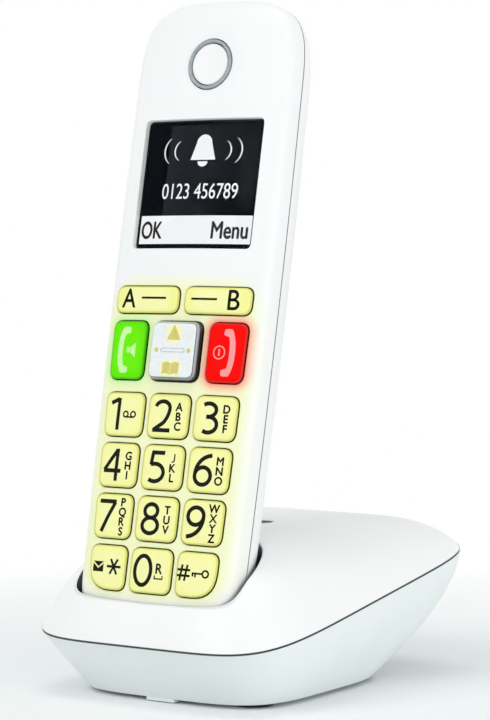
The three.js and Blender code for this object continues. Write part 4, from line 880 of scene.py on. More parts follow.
# ---------------------------------------------------------------- legends
def text_shape(text, height, stretch):
    """Flat outline of generic lettering, centred on the origin: (points, faces) in millimetres."""
    curve = bpy.data.curves.new("legend", "FONT")
    curve.body = text
    curve.size = 10
    curve.fill_mode = "FRONT"
    curve.resolution_u = 6
    obj = bpy.data.objects.new("legend", curve)
    scene.collection.objects.link(obj)
    bpy.context.view_layer.update()
    mesh = bpy.data.meshes.new_from_object(obj.evaluated_get(bpy.context.evaluated_depsgraph_get()))
    points = np.array([v.co[:2] for v in mesh.vertices], float)
    faces = [tuple(f.vertices) for f in mesh.polygons]
    bpy.data.objects.remove(obj)
    bpy.data.meshes.remove(mesh)
    bpy.data.curves.remove(curve)
    # capitals and digits of this font are 0.73 of its size tall
    scale = height / 7.3
    centre = [(points[:, 0].min() + points[:, 0].max()) / 2, 3.65]
    return (points - centre) * [scale * stretch, scale], faces


def spun(points, angle):
    c, s = math.cos(angle), math.sin(angle)
    return points @ np.array([[c, s], [-s, c]])


def moved(shape, x, z, turn=0.0):
    return spun(shape[0], turn) + [x, z], shape[1]


def placed(x, z, *shapes):
    """Flat shapes drawn about the origin, moved to their place."""
    return [moved(shape, x, z) for shape in shapes]


def bold(shape, x, z, reach):
    """The shape with copies set a little to each side, which makes its strokes wider."""
    return [moved(shape, x + dx, z + dz) for dx, dz in ((-reach, 0), (reach, 0), (0, -reach), (0, reach))]


def polygon(points):
    return np.array(points, float), [tuple(range(len(points)))]


def spokes(angles):
    return np.stack([np.cos(angles), np.sin(angles)], 1)


def strip_faces(count):
    """Faces between two rows of points."""
    return [(i, i + 1, count + i + 1, count + i) for i in range(count - 1)]


def hoop(radius, inner, sides):
    """A flat ring."""
    ring = spokes(np.linspace(0, 2 * math.pi, sides, endpoint=False))
    faces = [(i, (i + 1) % sides, sides + (i + 1) % sides, sides + i) for i in range(sides)]
    return np.vstack([ring * radius, ring * inner]), faces


def stroke(path, width):
    """A flat band of even width along an open path, with square ends."""
    p = np.array(path, float)
    d = np.gradient(p, axis=0) if len(p) > 2 else np.array([p[1] - p[0]] * 2)
    if np.allclose(p[0], p[-1]):
        d[0] = d[-1] = p[1] - p[-2]
    d /= np.linalg.norm(d, axis=1)[:, None]
    side = np.stack([-d[:, 1], d[:, 0]], 1) * width / 2
    return np.vstack([p + side, p - side]), strip_faces(len(p))


def bar(x0, z0, x1, z1, width):
    return stroke([(x0, z0), (x1, z1)], width)


def crescent(radius, thick, half_turn):
    """A sound wave mark: an arc that thins towards its ends."""
    t = np.linspace(-half_turn, half_turn, 17)
    half = (thick / 2 * (0.25 + 0.75 * np.cos(t / half_turn * math.pi / 2)))[:, None]
    return np.vstack([spokes(t) * (radius + half), spokes(t) * (radius - half)]), strip_faces(len(t))


def arc(x, z, rx, rz, start, end, steps):
    """Points on a part of an ellipse; angles in degrees, 0 to the right, 90 up."""
    t = np.radians(np.linspace(start, end, steps))
    return [(x + rx * math.cos(a), z + rz * math.sin(a)) for a in t]


DIGITS = {
    "0": [arc(0, 0, 2.0, 3.93, 0, 360, 49)],
    "1": [[(0.75, 4.38), (0.75, -4.4)], [(-1.5, 2.95), (0.62, 4.12)]],
    "2": [arc(-0.05, 2.0, 1.95, 1.93, 165, -8, 22) + arc(-3.9, 2.4, 5.8, 6.5, -8, -42, 9) + [(-1.9, -3.75)],
          [(-2.35, -3.93), (2.35, -3.93)]],
    "3": [arc(-0.25, 2.15, 1.85, 1.8, 132, -82, 26) + [(-0.7, 0.32)],
          [(-0.7, 0.32), (0.0, 0.32)] + arc(-0.05, -1.78, 2.05, 2.12, 82, -128, 26)],
    "4": [[(0.95, 4.1), (-2.35, -1.5)], [(-2.5, -1.62), (2.35, -1.62)], [(1.05, 4.4), (1.05, -4.4)]],
    "5": [[(1.85, 3.93), (-1.45, 3.93)], [(-1.12, 4.2), (-1.45, 0.55)],
          [(-1.45, 0.72)] + arc(-0.35, -1.5, 2.25, 2.38, 103, -128, 28)],
    "6": [arc(0.05, -1.6, 2.02, 2.33, 0, 360, 41), arc(2.2, -1.3, 4.15, 5.25, 180, 92, 18)],
    "7": [[(-2.2, 3.93), (2.2, 3.93)], [(2.0, 3.8), (0.2, -0.6), (-1.15, -4.4)]],
    "8": [arc(0, 2.1, 1.72, 1.83, 0, 360, 37), arc(0, -1.85, 2.08, 2.1, 0, 360, 41)],
    "9": [arc(-0.05, 1.6, 2.02, 2.33, 0, 360, 41), arc(-2.2, 1.3, 4.15, 5.25, 0, -88, 18)],
}
LETTERS = {"2": "ABC", "3": "DEF", "4": "GHI", "5": "JKL", "6": "MNO", "7": "PQRS", "8": "TUV", "9": "WXYZ"}


def digit_shape(mark):
    """A digit 8.8 mm tall drawn with a pen of even width."""
    wide = {"0": 1.32, "3": 1.28, "5": 1.28, "7": 1.28}.get(mark, 1.22)
    return [stroke([(x * wide, z) for x, z in path], 1.12) for path in DIGITS[mark]]


def receiver_shape():
    """A telephone receiver seen from the side, upright, its back bowed to the right."""
    half, bow, thick = 6.45, 1.5, 1.75
    t = np.linspace(-0.93, 0.93, 29)
    back = np.stack([bow * (1 - np.abs(t) ** 2.6), t * half], 1)
    inner = (back[4:-4] - [thick, 0])[::-1]
    reach = -thick - 0.55
    top = [(back[-1][0] - 0.3, half * 0.985), (-0.9, half), (reach + 0.25, half * 0.985), (reach, half * 0.95),
           (reach - 0.12, half * 0.76), (reach + 0.1, half * 0.73)]
    return polygon([*back, *top, *inner, *[(x, -z) for x, z in reversed(top)]])


def divided(flat, panels):
    """A flat shape cut into small triangles: points, faces and the edges of its rim."""
    bm = bmesh.new()
    verts = [bm.verts.new((x, 0, z)) for x, z in flat]
    for panel in panels:
        try:
            bm.faces.new([verts[i] for i in panel])
        except ValueError:
            pass
    bmesh.ops.remove_doubles(bm, verts=bm.verts, dist=1e-4)
    bmesh.ops.triangulate(bm, faces=bm.faces)
    for _ in range(5):
        long = [e for e in bm.edges if e.calc_length() > 0.9]
        if not long:
            break
        bmesh.ops.subdivide_edges(bm, edges=long, cuts=1)
        bmesh.ops.triangulate(bm, faces=bm.faces)
    bm.verts.index_update()
    points = np.array([(v.co.x, v.co.z) for v in bm.verts])
    faces = [tuple(v.index for v in f.verts) for f in bm.faces]
    rim = [(e.verts[0].index, e.verts[1].index) for e in bm.edges if len(e.link_faces) == 1]
    bm.free()
    return points, faces, rim


def thick_legend(name, shapes, surface, back=0.12, front=0.035):
    """Flat shapes laid on a surface as thin closed bodies; surface(x, z) gives the depth."""
    bodies = []
    for shape in shapes:
        flat, panels, rim = divided(*shape)
        n = len(flat)
        depth = np.array([surface(x, z) for x, z in flat])
        faces = panels + [tuple(i + n for i in reversed(f)) for f in panels]
        faces += [(a, b, b + n, a + n) for a, b in rim]
        bodies.append((np.vstack([at_depth(flat, depth - front), at_depth(flat, depth + back)]), faces))
    return soften(outward(new_object(name, *merged(bodies))))


def surface_of(obj):
    """Depth of a handset piece's face over (x, z), by rays from the front."""
    mesh = obj.data
    co = np.empty(len(mesh.vertices) * 3)
    mesh.vertices.foreach_get("co", co)
    tree = BVHTree.FromPolygons((co.reshape(-1, 3) / MM).tolist(), [tuple(f.vertices) for f in mesh.polygons])

    def depth(x, z):
        hit = tree.ray_cast(Vector((x, -20.0, z)), Vector((0, 1, 0)))
        return hit[0].y if hit[0] is not None else 0.0
    return depth


def digit_legend(mark, left, wide, middle):
    """A digit with its letters beside it, top to bottom."""
    x = left + wide * (0.30 if mark == "1" else 0.37) - {"0": 0.6, "7": 0.25, "9": 0.35}.get(mark, 0)
    shapes = placed(x, middle, *digit_shape(mark))
    letters = LETTERS.get(mark, "")
    x = left + wide * 0.765
    for i, letter in enumerate(letters):
        z = middle + ((len(letters) - 1) / 2 - i) * 2.65
        if letter == "J":
            path = [(0.35, 1.15), (0.35, -0.5)] + arc(-0.2, -0.5, 0.55, 0.52, 0, -115, 10)
            shapes += placed(x, z, stroke(path, 0.38))
        else:
            shapes += bold(text_shape(letter, 2.3, 0.98), x, z, 0.1)
    if mark == "1":  # two spools of a tape, for the messages
        spool = hoop(1.0, 0.54, 24)
        shapes += placed(left + wide * 0.66, middle, moved(spool, -1.25, 0), moved(spool, 1.25, 0),
                         bar(-1.25, -0.77, 1.25, -0.77, 0.46))
    if mark == "0":  # a letter over a bracket
        x = left + wide * 0.76 - 0.5
        shapes += bold(text_shape("R", 2.8, 0.95), x, middle + 0.85, 0.1)
        shapes += placed(x, middle, bar(-1.25, -1.1, -1.25, -1.95, 0.36), bar(1.25, -1.1, 1.25, -1.95, 0.36),
                         bar(-1.43, -1.95, 1.43, -1.95, 0.36))
    return shapes


def star_legend(left, wide, middle):
    """A star, with an envelope whose flap lies apart from its body."""
    arms = 2.35 * spokes(np.radians((60, 0, 120)))
    body = polygon([(-1.8, -1.4), (1.8, -1.4), (1.8, 0.85), (0, -0.55), (-1.8, 0.85)])
    flap = polygon([(0, -0.02), (1.8, 1.4), (-1.8, 1.4)])
    return (placed(left + wide * 0.73 - 0.45, middle + 0.28, *[bar(-x, -z, x, z, 0.66) for x, z in arms])
            + placed(left + wide * 0.27 - 0.1, middle + 0.1, body, flap))


def hash_legend(left, wide, middle):
    """A hash sign and a small key."""
    shapes = []
    for k in (-0.78, 0.78):
        shapes += placed(left + wide * 0.27 - 1.0, middle + 0.37, bar(k - 0.3, -2.15, k + 0.3, 2.15, 0.62),
                         bar(-2.1, k, 2.1, k, 0.62))
    return shapes + placed(left + wide * 0.66 - 0.55, middle + 0.42, moved(hoop(1.15, 0.66, 28), 1.55, 0),
                           bar(0.45, 0, -2.6, 0, 0.48), bar(-1.5, 0, -1.5, -1.05, 0.5),
                           bar(-2.32, 0, -2.32, -0.85, 0.5))


def key_legend(node, cap):
    """The black marks on a pale key, laid on its cap."""
    left, right, low, high = extent(KEYS[node])
    wide, middle = right - left, (low + high) / 2
    mark = node[4:]
    if mark.isdigit():
        shapes = digit_legend(mark, left, wide, middle)
    elif mark == "star":
        shapes = star_legend(left, wide, middle)
    elif mark == "hash":
        shapes = hash_legend(left, wide, middle)
    elif mark == "soft_left":
        z = middle + 0.45
        shapes = bold(text_shape("A", 5.5, 0.92), left + wide * 0.215, middle + 0.5, 0.09)
        shapes.append(bar(left + wide * 0.42, z, left + wide * 0.81, z, 0.58))
    else:
        z = middle + 0.35
        shapes = bold(text_shape("B", 5.8, 0.96), left + wide * 0.75, middle + 0.45, 0.07)
        shapes.append(bar(left + wide * 0.11, z, left + wide * 0.50, z, 0.58))
    return thick_legend(node + "_legend", shapes, surface_of(cap))


def call_legend(node, cap):
    """The receiver on the talk and end keys, with a loudspeaker or a circled stroke beside it."""
    left, right, _, _ = extent(KEYS[node])
    wide = right - left
    if node == "key_talk":
        shapes = [moved(receiver_shape(), left + wide * 0.34, CALL_MIDDLE, math.pi)]
        box = polygon([(-1.5, -0.75), (-0.4, -0.75), (-0.4, 0.75), (-1.5, 0.75)])
        horn = polygon([(-0.12, -0.75), (1.5, -2.05), (1.5, 2.05), (-0.12, 0.75)])
        shapes += placed(left + wide * 0.6, CALL_MIDDLE, box, horn)
    else:
        shapes = placed(left + wide * 0.62, CALL_MIDDLE, receiver_shape())
        shapes += placed(left + wide * 0.33, CALL_MIDDLE, hoop(1.9, 1.56, 36), bar(0, -0.92, 0, 0.92, 0.5))
    return thick_legend(node + "_legend", shapes, surface_of(cap))


def navigation_legend(cap):
    """A triangle above, an open book below and a dot to each side."""
    shapes = [polygon([(-2.2, 2.9), (2.2, 2.9), (0, 7.0)])]
    for sign in (-1, 1):
        page = ((0.1, -6.75), (1.2, -6.3), (2.7, -6.5), (2.7, -3.4), (1.2, -3.2), (0.1, -3.6))
        shapes.append(polygon([(sign * x, z) for x, z in page]))
    shapes += [polygon(circle(0.62, 20, (x, 0))) for x in (-5.3, 5.3)]
    return thick_legend("navigation_legend", placed(0, CALL_MIDDLE, *shapes), surface_of(cap))


def display_content():
    """What the lit display shows: a bell that rings, a plain number, and the two soft key names."""
    def surface(x, z):
        return PANEL_DEPTH + crown(x)

    bell = [(-4.1, 130.3), (4.1, 130.3), (2.75, 134.4), *arc(0, 134.9, 2.55, 2.5, 0, 180, 17), (-2.75, 134.4)]
    white = [polygon(bell), polygon(arc(0, 129.85, 1.65, 1.45, 180, 360, 13))]
    for sign in (-1, 1):
        for radius, half_turn, out in ((3.0, 1.08, 6.35), (4.2, 0.98, 8.65)):
            wave = crescent(radius, 0.42, half_turn)
            white.append(moved(wave, sign * out - 0.35, 132.9, 0 if sign > 0 else math.pi))
    white += placed(0, 121.7, text_shape("0123 456789", 4.5, 0.78))
    marks = thick_legend("display_marks", white, surface, back=0.05, front=0.03)
    low, high, left, right = 106.8, 114.7, -18.75, 18.2
    strip = rounded_box(left, right, low, high, 0.15, 2, 1.2)
    band = solid("display_strip", [draped(strip, 1.95), draped(strip, 1.885)] + face_fill(strip, 1.885))
    words = (bold(text_shape("OK", 4.95, 0.72), left + 4.1, 110.85, 0.15)
             + bold(text_shape("Menu", 4.95, 0.8), right - 6.9, 110.85, 0.15))
    return marks, soften(band), thick_legend("display_names", words, surface, back=0.0, front=0.03)


# ---------------------------------------------------------------- materials
def linear(red, green, blue):
    """A colour written as it shows (0 to 255) in the linear numbers a shader takes."""
    shares = [value / 255 for value in (red, green, blue)]
    return (*[c / 12.92 if c <= 0.04045 else ((c + 0.055) / 1.055) ** 2.4 for c in shares], 1.0)


class Surface:
    """A node material around one Principled shader, with its textures in object space."""

    def __init__(self, name):
        self.material = bpy.data.materials.new(name)
        self.material.use_nodes = True
        self.tree = self.material.node_tree
        self.shader = self.tree.nodes["Principled BSDF"]
        self.places = self.node("ShaderNodeTexCoord").outputs
        self.space = self.places["Object"]

    def node(self, kind, **settings):
        made = self.tree.nodes.new(kind)
        for key, value in settings.items():
            setattr(made, key, value)
        return made

    def join(self, output, target):
        self.tree.links.new(output, target)

    def feed(self, sockets, values):
        """Gives each socket its value, or joins it to another node's output."""
        for socket, value in zip(sockets, values):
            if isinstance(value, bpy.types.NodeSocket):
                self.join(value, socket)
            else:
                socket.default_value = value

    def fill(self, node, **sockets):
        self.feed([node.inputs[key.replace("_", " ")] for key in sockets], sockets.values())

    def set(self, **sockets):
        self.fill(self.shader, **sockets)
        return self

    def paint(self, tone):
        return self.set(Base_Color=tone)

    def noise(self, scale, detail, rough=0.5, stretch=None):
        """Noise with features of about 1/scale metres."""
        source = self.space
        if stretch:
            mapping = self.node("ShaderNodeMapping")
            self.fill(mapping, Vector=source, Scale=stretch)
            source = mapping.outputs["Vector"]
        texture = self.node("ShaderNodeTexNoise")
        self.fill(texture, Vector=source, Scale=scale, Detail=detail, Roughness=rough)
        return texture.outputs["Fac"]

    def between(self, factor, low, high, start=0.35, end=0.65):
        """A number that runs from low to high as the factor goes from start to end."""
        ranged = self.node("ShaderNodeMapRange")
        self.fill(ranged, Value=factor, From_Min=start, From_Max=end, To_Min=low, To_Max=high)
        return ranged.outputs["Result"]

    def past(self, distance, start, end):
        """0 before the start and 1 past the end, both in millimetres."""
        return self.between(distance, 0, 1, start * MM, end * MM)

    def before(self, distance, start, end):
        """1 before the start and 0 past the end, both in millimetres."""
        return self.between(distance, 1, 0, start * MM, end * MM)

    def mix(self, factor, first, second):
        """Two colours mixed; each is a colour or another node's output."""
        mixed = self.node("ShaderNodeMix", data_type="RGBA")
        self.fill(mixed, Factor=factor, A=first, B=second)
        return mixed.outputs["Result"]

    def maths(self, operation, *values):
        node = self.node("ShaderNodeMath", operation=operation)
        self.feed(node.inputs, values)
        return node.outputs[0]

    def times(self, first, second):
        return self.maths("MULTIPLY", first, second)

    def minus(self, first, second):
        return self.maths("SUBTRACT", first, second)

    def vector(self, operation, *values):
        node = self.node("ShaderNodeVectorMath", operation=operation)
        self.feed(node.inputs, values)
        return node.outputs["Value" if operation in ("LENGTH", "DISTANCE") else "Vector"]

    def wander(self, first, second, scale, detail=3.0):
        """A tone that wanders between two close ones."""
        return self.mix(self.between(self.noise(scale, detail), 0, 1), first, second)

    def polish(self, low, high, scale, stretch=None):
        return self.set(Roughness=self.between(self.noise(scale, 4, 0.6, stretch), low, high))

    def grain(self, scale, depth, stretch=None):
        """Relief of a given depth in metres."""
        bump = self.node("ShaderNodeBump")
        self.fill(bump, Strength=1.0, Distance=depth, Height=self.noise(scale, 2.0, 0.55, stretch))
        return self.set(Normal=bump.outputs["Normal"])

    def axes(self, source=None):
        split = self.node("ShaderNodeSeparateXYZ")
        self.join(source or self.space, split.inputs[0])
        return split.outputs

    def facing(self, axis):
        return self.axes(self.places["Normal"])[axis]

    def below_face(self):
        """Depth behind the crowned face, in metres."""
        x, y, _ = self.axes()
        return self.minus(y, self.times(self.times(x, x), 1 / (2 * CROWN_RADIUS * MM)))

    def near_block(self, centre, half, corner):
        """Distance in metres outside a round-cornered block in the face's plane (x, z)."""
        offset = self.vector("SUBTRACT", self.space, (centre[0] * MM, 0, centre[1] * MM))
        outside = self.vector("SUBTRACT", self.vector("ABSOLUTE", offset),
                              ((half[0] - corner) * MM, 1.0, (half[1] - corner) * MM))
        return self.minus(self.vector("LENGTH", self.vector("MAXIMUM", outside, (0, 0, 0))), corner * MM)

    def fade(self, distance, reach, strength, power):
        """Full at a block's edge and nothing at its reach, in millimetres."""
        return self.times(self.maths("POWER", self.before(distance, 0, reach), power), strength)

    def seam(self, tone, distance, half):
        """The tone with a painted shade line where the distance to a seam, in metres, is small."""
        return self.mix(self.before(self.maths("ABSOLUTE", distance), half, half + 0.1), tone, SEAM_PAINTED_SHADE)

    def handset_seam(self, tone):
        return self.seam(tone, self.minus(self.axes()["Y"], SEAM * MM), HANDSET_SEAM_HALF)

    def base_seam(self, tone):
        _, y, z = self.axes()
        height = self.minus(self.minus(z, self.times(y, SEAM_SLOPE)), float(seam_height(0)) * MM)
        return self.seam(tone, height, BASE_SEAM_HALF)


# painted shade for the shadow in the gaps between the shells
SEAM_PAINTED_SHADE = linear(112, 121, 122)
HANDSET_SEAM_HALF, BASE_SEAM_HALF = 0.17, 0.24  # half the painted seam shade lines' widths
# painted shade for the well's walls and the edge of its floor
WELL_PAINTED_SHADE = linear(92, 106, 108)
# painted shade for the paging key's hole
HOLE_PAINTED_SHADE = linear(30, 38, 40)
# painted shade for the window's bevel wall
BEVEL_PAINTED_SHADE = linear(64, 78, 80)


def shell_plastic(name, tone=linear(246, 246, 246), deep=linear(244, 245, 245)):
    surface = Surface(name).set(IOR=1.46, Specular_IOR_Level=0.35)
    surface.tone = surface.wander(tone, deep, 60)
    return surface.paint(surface.tone).polish(0.33, 0.37, 60).grain(300, 0.0000004)


def rear_plastic():
    surface = shell_plastic("rear_plastic")
    return surface.paint(surface.handset_seam(surface.tone)).material


def base_low_shaded_plastic():
    # a darker, cooler copy of the shell's white: painted shade on the lower shell, which faces down and out
    surface = shell_plastic("base_low_shaded_plastic", linear(234, 239, 239), linear(231, 237, 237))
    return surface.paint(surface.base_seam(surface.tone)).material


def base_top_plastic():
    """The top shell's white, with painted shade down in the well, in the paging key's hole and along the seam.
    """
    surface = shell_plastic("base_top_plastic")
    maths, times, minus, before = surface.maths, surface.times, surface.minus, surface.before
    x, y, z = surface.axes()
    s, c = math.sin(LEAN), math.cos(LEAN)
    # the well's plan: a soft rectangle ahead of the handset's seam
    behind = maths("ADD", times(y, c), times(z, -s))
    ahead = maths("MAXIMUM", minus((FOOT[1] * c - FOOT[2] * s + SEAM) * MM, behind), 0.0)
    along = maths("POWER", maths("DIVIDE", ahead, WELL_FRONT * MM), 5)
    across = maths("POWER", maths("DIVIDE", maths("ABSOLUTE", x), (HALF_WIDTH + WELL_GAP) * MM), 5)
    inside = surface.between(maths("ADD", along, across), 1, 0, 1.03, 1.22)
    # its walls and the edge of its floor, which take painted shade
    steep = surface.between(surface.facing("Z"), 1, 0, 0.3, 0.75)
    raised = maths("ADD", times(y, s), times(z, c))
    low = before(minus(raised, (FOOT[1] * s + FOOT[2] * c) * MM), 2.2, 3.2)
    deep = times(inside, maths("MAXIMUM", steep, low))
    tone = surface.mix(times(deep, before(y, -6, -4)), surface.base_seam(surface.tone), WELL_PAINTED_SHADE)
    # painted shade in the paging key's hole and on the inner part of its chamfer
    flat = surface.node("ShaderNodeCombineXYZ")
    surface.feed(flat.inputs, (x, y))
    hole = surface.vector("DISTANCE", flat.outputs[0], (0, PAGING_Y * MM, 0))
    tone = surface.mix(before(hole, 3.78, 3.95), tone, HOLE_PAINTED_SHADE)
    return surface.paint(tone).material


def face_plastic():
    """The white front shell, tinted where the lit keys shine on it and through it."""
    surface = shell_plastic("face_plastic")
    tone = surface.tone
    end_key, talk_key = ([(x, CALL_MIDDLE), (5.9, 8.1), 2.6] for x in (16.1, -16.1))
    for block, fade, tint in (([(0, 52.7), (22.4, 41.9), 7], (4.4, 0.85, 1.5), linear(247, 250, 194)),
                              (end_key, (3.8, 0.95, 1.7), linear(255, 120, 112)),
                              (talk_key, (4.2, 0.55, 1.7), linear(170, 250, 130))):
        tone = surface.mix(surface.fade(surface.near_block(*block), *fade), tone, tint)
    half, low, high = WINDOW
    # painted shade on the wall of the window's bevel
    bevel = surface.near_block((0, (low + high) / 2), (half, (high - low) / 2), 1.0)
    tone = surface.mix(surface.before(bevel, 0.02, 0.14), tone, BEVEL_PAINTED_SHADE)
    return surface.paint(surface.handset_seam(tone)).material


def key_plastic(name, middle, edge, shoulder, rim, glow, block, shine):
    """A translucent key lit from behind: paler in the middle, with painted shade round its shoulder and a
    painted shadow line at the shell.
    """
    surface = Surface(name).set(IOR=1.45, Specular_IOR_Level=shine, Emission_Strength=glow)
    centre, half = block
    inner = surface.near_block(centre, (half[0] * 0.62, half[1] * 0.62), 1.2)
    tone = surface.mix(surface.past(inner, 0, min(half) * 0.5), middle, edge)
    tone = surface.mix(surface.between(surface.noise(420, 4), 0, 0.2), tone, edge)
    depth = surface.below_face()
    # painted shade round the shoulder
    tone = surface.mix(surface.past(depth, -0.64, -0.50), tone, shoulder)
    # a painted shadow line at the shell; the left side, lit by the key's neighbour, stays pale
    low = surface.times(surface.past(depth, -0.18, -0.06),
                        surface.between(surface.facing("X"), 0.1, 1, -0.8, -0.2))
    tone = surface.mix(low, tone, rim)
    surface.paint(tone).set(Emission_Color=tone)
    return surface.polish(0.45, 0.56, 300).grain(3600, 0.000002).material


def plain_plastic(name, first, second, low, high, scale=120, grain=(2600, 0.000006), shine=0.5):
    surface = Surface(name).set(IOR=1.45, Specular_IOR_Level=shine)
    surface.paint(surface.wander(linear(*first), linear(*second), scale))
    return surface.polish(low, high, scale * 2).grain(*grain).material


def metal(name, first, second, low, high, stretch):
    surface = Surface(name).set(Metallic=1.0)
    surface.paint(surface.wander(linear(*first), linear(*second), 260))
    return surface.polish(low, high, 900, stretch).grain(2400, 0.000006, stretch).material


def lit_marks():
    """The display's white marks: nothing of their colour comes from the lamps."""
    surface = Surface("display_white")
    surface.set(Base_Color=(0, 0, 0, 1), Roughness=0.5, Specular_IOR_Level=0.0, Emission_Strength=1.0)
    tone = surface.wander(linear(252, 253, 255), linear(248, 250, 253), 2400, 2)
    return surface.set(Emission_Color=tone).material


def lens_glass():
    surface = Surface("lens_glass").set(Alpha=0.04)
    surface.paint(surface.wander(linear(16, 20, 22), linear(20, 24, 26), 80))
    return surface.polish(0.02, 0.05, 200).material


def display_back():
    """The dark display, with a painted reflection that glows: a pale band that starts with a step at a fifth of
    its width and fades to the right.
    """
    surface = Surface("display_back").set(Roughness=0.4, Specular_IOR_Level=0.0, Emission_Strength=1.0)
    surface.paint(surface.wander(linear(3, 4, 6), linear(5, 6, 9), 500))
    across = surface.axes()["X"]
    fade = surface.maths("POWER", surface.before(across, -12, 15), 1.3)
    step = surface.past(across, -11.75, -11.6)
    inside = surface.before(surface.near_block((0, 123.3), (18.0, 16.7), 0.2), 0, 0.1)
    # the painted reflection band, given off as light
    glow = surface.times(surface.times(fade, step), inside)
    tone = surface.mix(glow, linear(1, 4, 7), linear(38, 40, 46))
    tone = surface.mix(surface.between(surface.noise(3000, 1), 0.0, 0.08), tone, linear(26, 28, 32))
    return surface.set(Emission_Color=tone).material


def navigation_plastic():
    """Silver lacquer on the plate, with a painted glow round its marks; the flanks take painted shade towards
    the shell and a painted reflection that darkens them to the right and the bottom.
    """
    surface = Surface("navigation_plastic").set(Metallic=0.0, IOR=1.45)
    plate = surface.wander(linear(238, 241, 242), linear(234, 238, 240), 900, 4)
    up = surface.near_block((0, 81.3), (1.7, 1.8), 1.0)
    book = surface.near_block((0, 71.7), (2.6, 1.7), 0.6)
    # painted glow round the triangle and the book
    lit = surface.maths("MAXIMUM", surface.fade(up, 1.6, 0.8, 1.2), surface.fade(book, 1.3, 0.8, 1.2))
    plate = surface.mix(lit, plate, linear(252, 247, 168))
    depth = surface.below_face()
    # painted reflection: the flank goes darker towards the right and the bottom
    x, _, z = surface.axes()
    side = surface.past(surface.minus(x, surface.minus(z, CALL_MIDDLE * MM)), -7, 3)
    low = surface.mix(side, linear(104, 112, 116), linear(16, 24, 30))
    high = surface.mix(side, linear(206, 213, 216), linear(150, 161, 167))
    line = surface.mix(side, linear(150, 158, 162), linear(66, 76, 82))
    painted_flank = surface.mix(surface.past(depth, -1.45, -1.0), high, low)
    rim = surface.past(surface.near_block((0, CALL_MIDDLE), (6.9, 7.15), 1.8), 0, 0.1)
    # a painted shade line where the plate bends down, then the painted flank
    tone = plate
    for start, end, deeper in ((-2.13, -2.08, line), (-2.02, -1.96, painted_flank)):
        tone = surface.mix(surface.times(surface.past(depth, start, end), rim), tone, deeper)
    return surface.paint(tone).polish(0.24, 0.34, 500).grain(3000, 0.000004).material


def circuit_board():
    surface = Surface("circuit_board").set(IOR=1.5)
    tracks = surface.node("ShaderNodeTexBrick")
    surface.fill(tracks, Vector=surface.space, Scale=420, Mortar_Size=0.06, Color1=linear(24, 92, 52),
                 Color2=linear(30, 104, 60), Mortar=linear(52, 140, 82))
    return surface.paint(tracks.outputs["Color"]).polish(0.35, 0.5, 400).grain(1200, 0.00001).material


def cell_wrap():
    """Printed sleeve of a battery cell, with a pale band near the top."""
    surface = Surface("cell_wrap").set(IOR=1.5)
    band = surface.past(surface.axes()["Z"], 96, 96.4)
    wave = surface.wander(linear(28, 84, 150), linear(34, 94, 160), 300, 2)
    return surface.paint(surface.mix(band, wave, linear(226, 228, 230))).polish(0.25, 0.35, 300).material


WHITE = shell_plastic("shell_plastic").material
REAR_WHITE = rear_plastic()
TOP_WHITE = base_top_plastic()
LOW_WHITE = base_low_shaded_plastic()
FACE = face_plastic()
BLACK = plain_plastic("black_plastic", (24, 25, 27), (32, 33, 36), 0.42, 0.55)
SOCKET = plain_plastic("socket_plastic", (40, 41, 44), (50, 51, 54), 0.4, 0.5)
RUBBER = plain_plastic("foot_rubber", (26, 29, 31), (36, 39, 41), 0.7, 0.85, 200, (1800, 0.00003))
SILICONE = plain_plastic("silicone_mat", (222, 222, 200), (212, 212, 188), 0.55, 0.7)
SPEAKER = plain_plastic("speaker_cone", (36, 37, 40), (50, 51, 54), 0.6, 0.75, 300)
PAGING = plain_plastic("paging_plastic", (26, 33, 36), (34, 42, 45), 0.3, 0.42, 400)
BEZEL = plain_plastic("bezel_lacquer", (150, 160, 161), (164, 172, 173), 0.22, 0.32, 300)
INK = plain_plastic("legend_ink", (14, 18, 8), (20, 24, 12), 0.6, 0.7, 900, (4000, 0.000003), 0.15)
GOLD_INK = plain_plastic("legend_gold", (208, 196, 104), (216, 206, 120), 0.45, 0.55, 900)
PINK_INK = plain_plastic("legend_pink", (255, 158, 158), (250, 150, 150), 0.45, 0.55, 900)
PALE_INK = plain_plastic("legend_pale", (206, 250, 170), (198, 246, 160), 0.45, 0.55, 900)
STEEL = metal("plated_steel", (196, 197, 200), (180, 182, 186), 0.24, 0.38, (1, 1, 8))
GOLD = metal("contact_gold", (226, 190, 110), (214, 178, 98), 0.2, 0.34, (1, 8, 1))
GLASS = lens_glass()
PANEL = display_back()
MARKS = lit_marks()
NAMES = plain_plastic("display_black", (6, 7, 9), (10, 11, 13), 0.5, 0.6)
BOARD = circuit_board()
WRAP = cell_wrap()
NAVIGATION = navigation_plastic()


# ---------------------------------------------------------------- assembly
def build_handset():
    place(finished_front_shell(), "handset", FACE, "white_shell", "handset_front_shell")
    place(finished_rear_shell(), "handset", REAR_WHITE, "white_shell", "handset_rear_shell")
    place(finished_cover(), "battery_cover", WHITE, "white_shell", "battery_cover")
    place(display_lens(), "handset", GLASS, "lens", "display_lens")
    place(display_panel(), "handset", PANEL, "display", "display_module")
    marks, strip, names = display_content()
    place(marks, "handset", MARKS, "display")
    place(strip, "handset", MARKS, "display")
    place(names, "handset", NAMES, "display")
    place(earpiece_ring(), "handset", BEZEL, "ring_grey", "earpiece_ring")
    place(earpiece_cap(), "handset", WHITE, "white_shell", "earpiece_cap")
    for side, sign in SIDES:
        centre = (sign * CASE_SCREW[0], CASE_SCREW[1])
        screw = screw_head("case_screw_" + side, centre, True, 21.2, 22.6, 9.5)
        place(screw, "handset", STEEL, "steel", "handset_screw_" + side)
        place(contact_pad(side, sign), "handset", GOLD, "steel", "handset_contact_" + side)


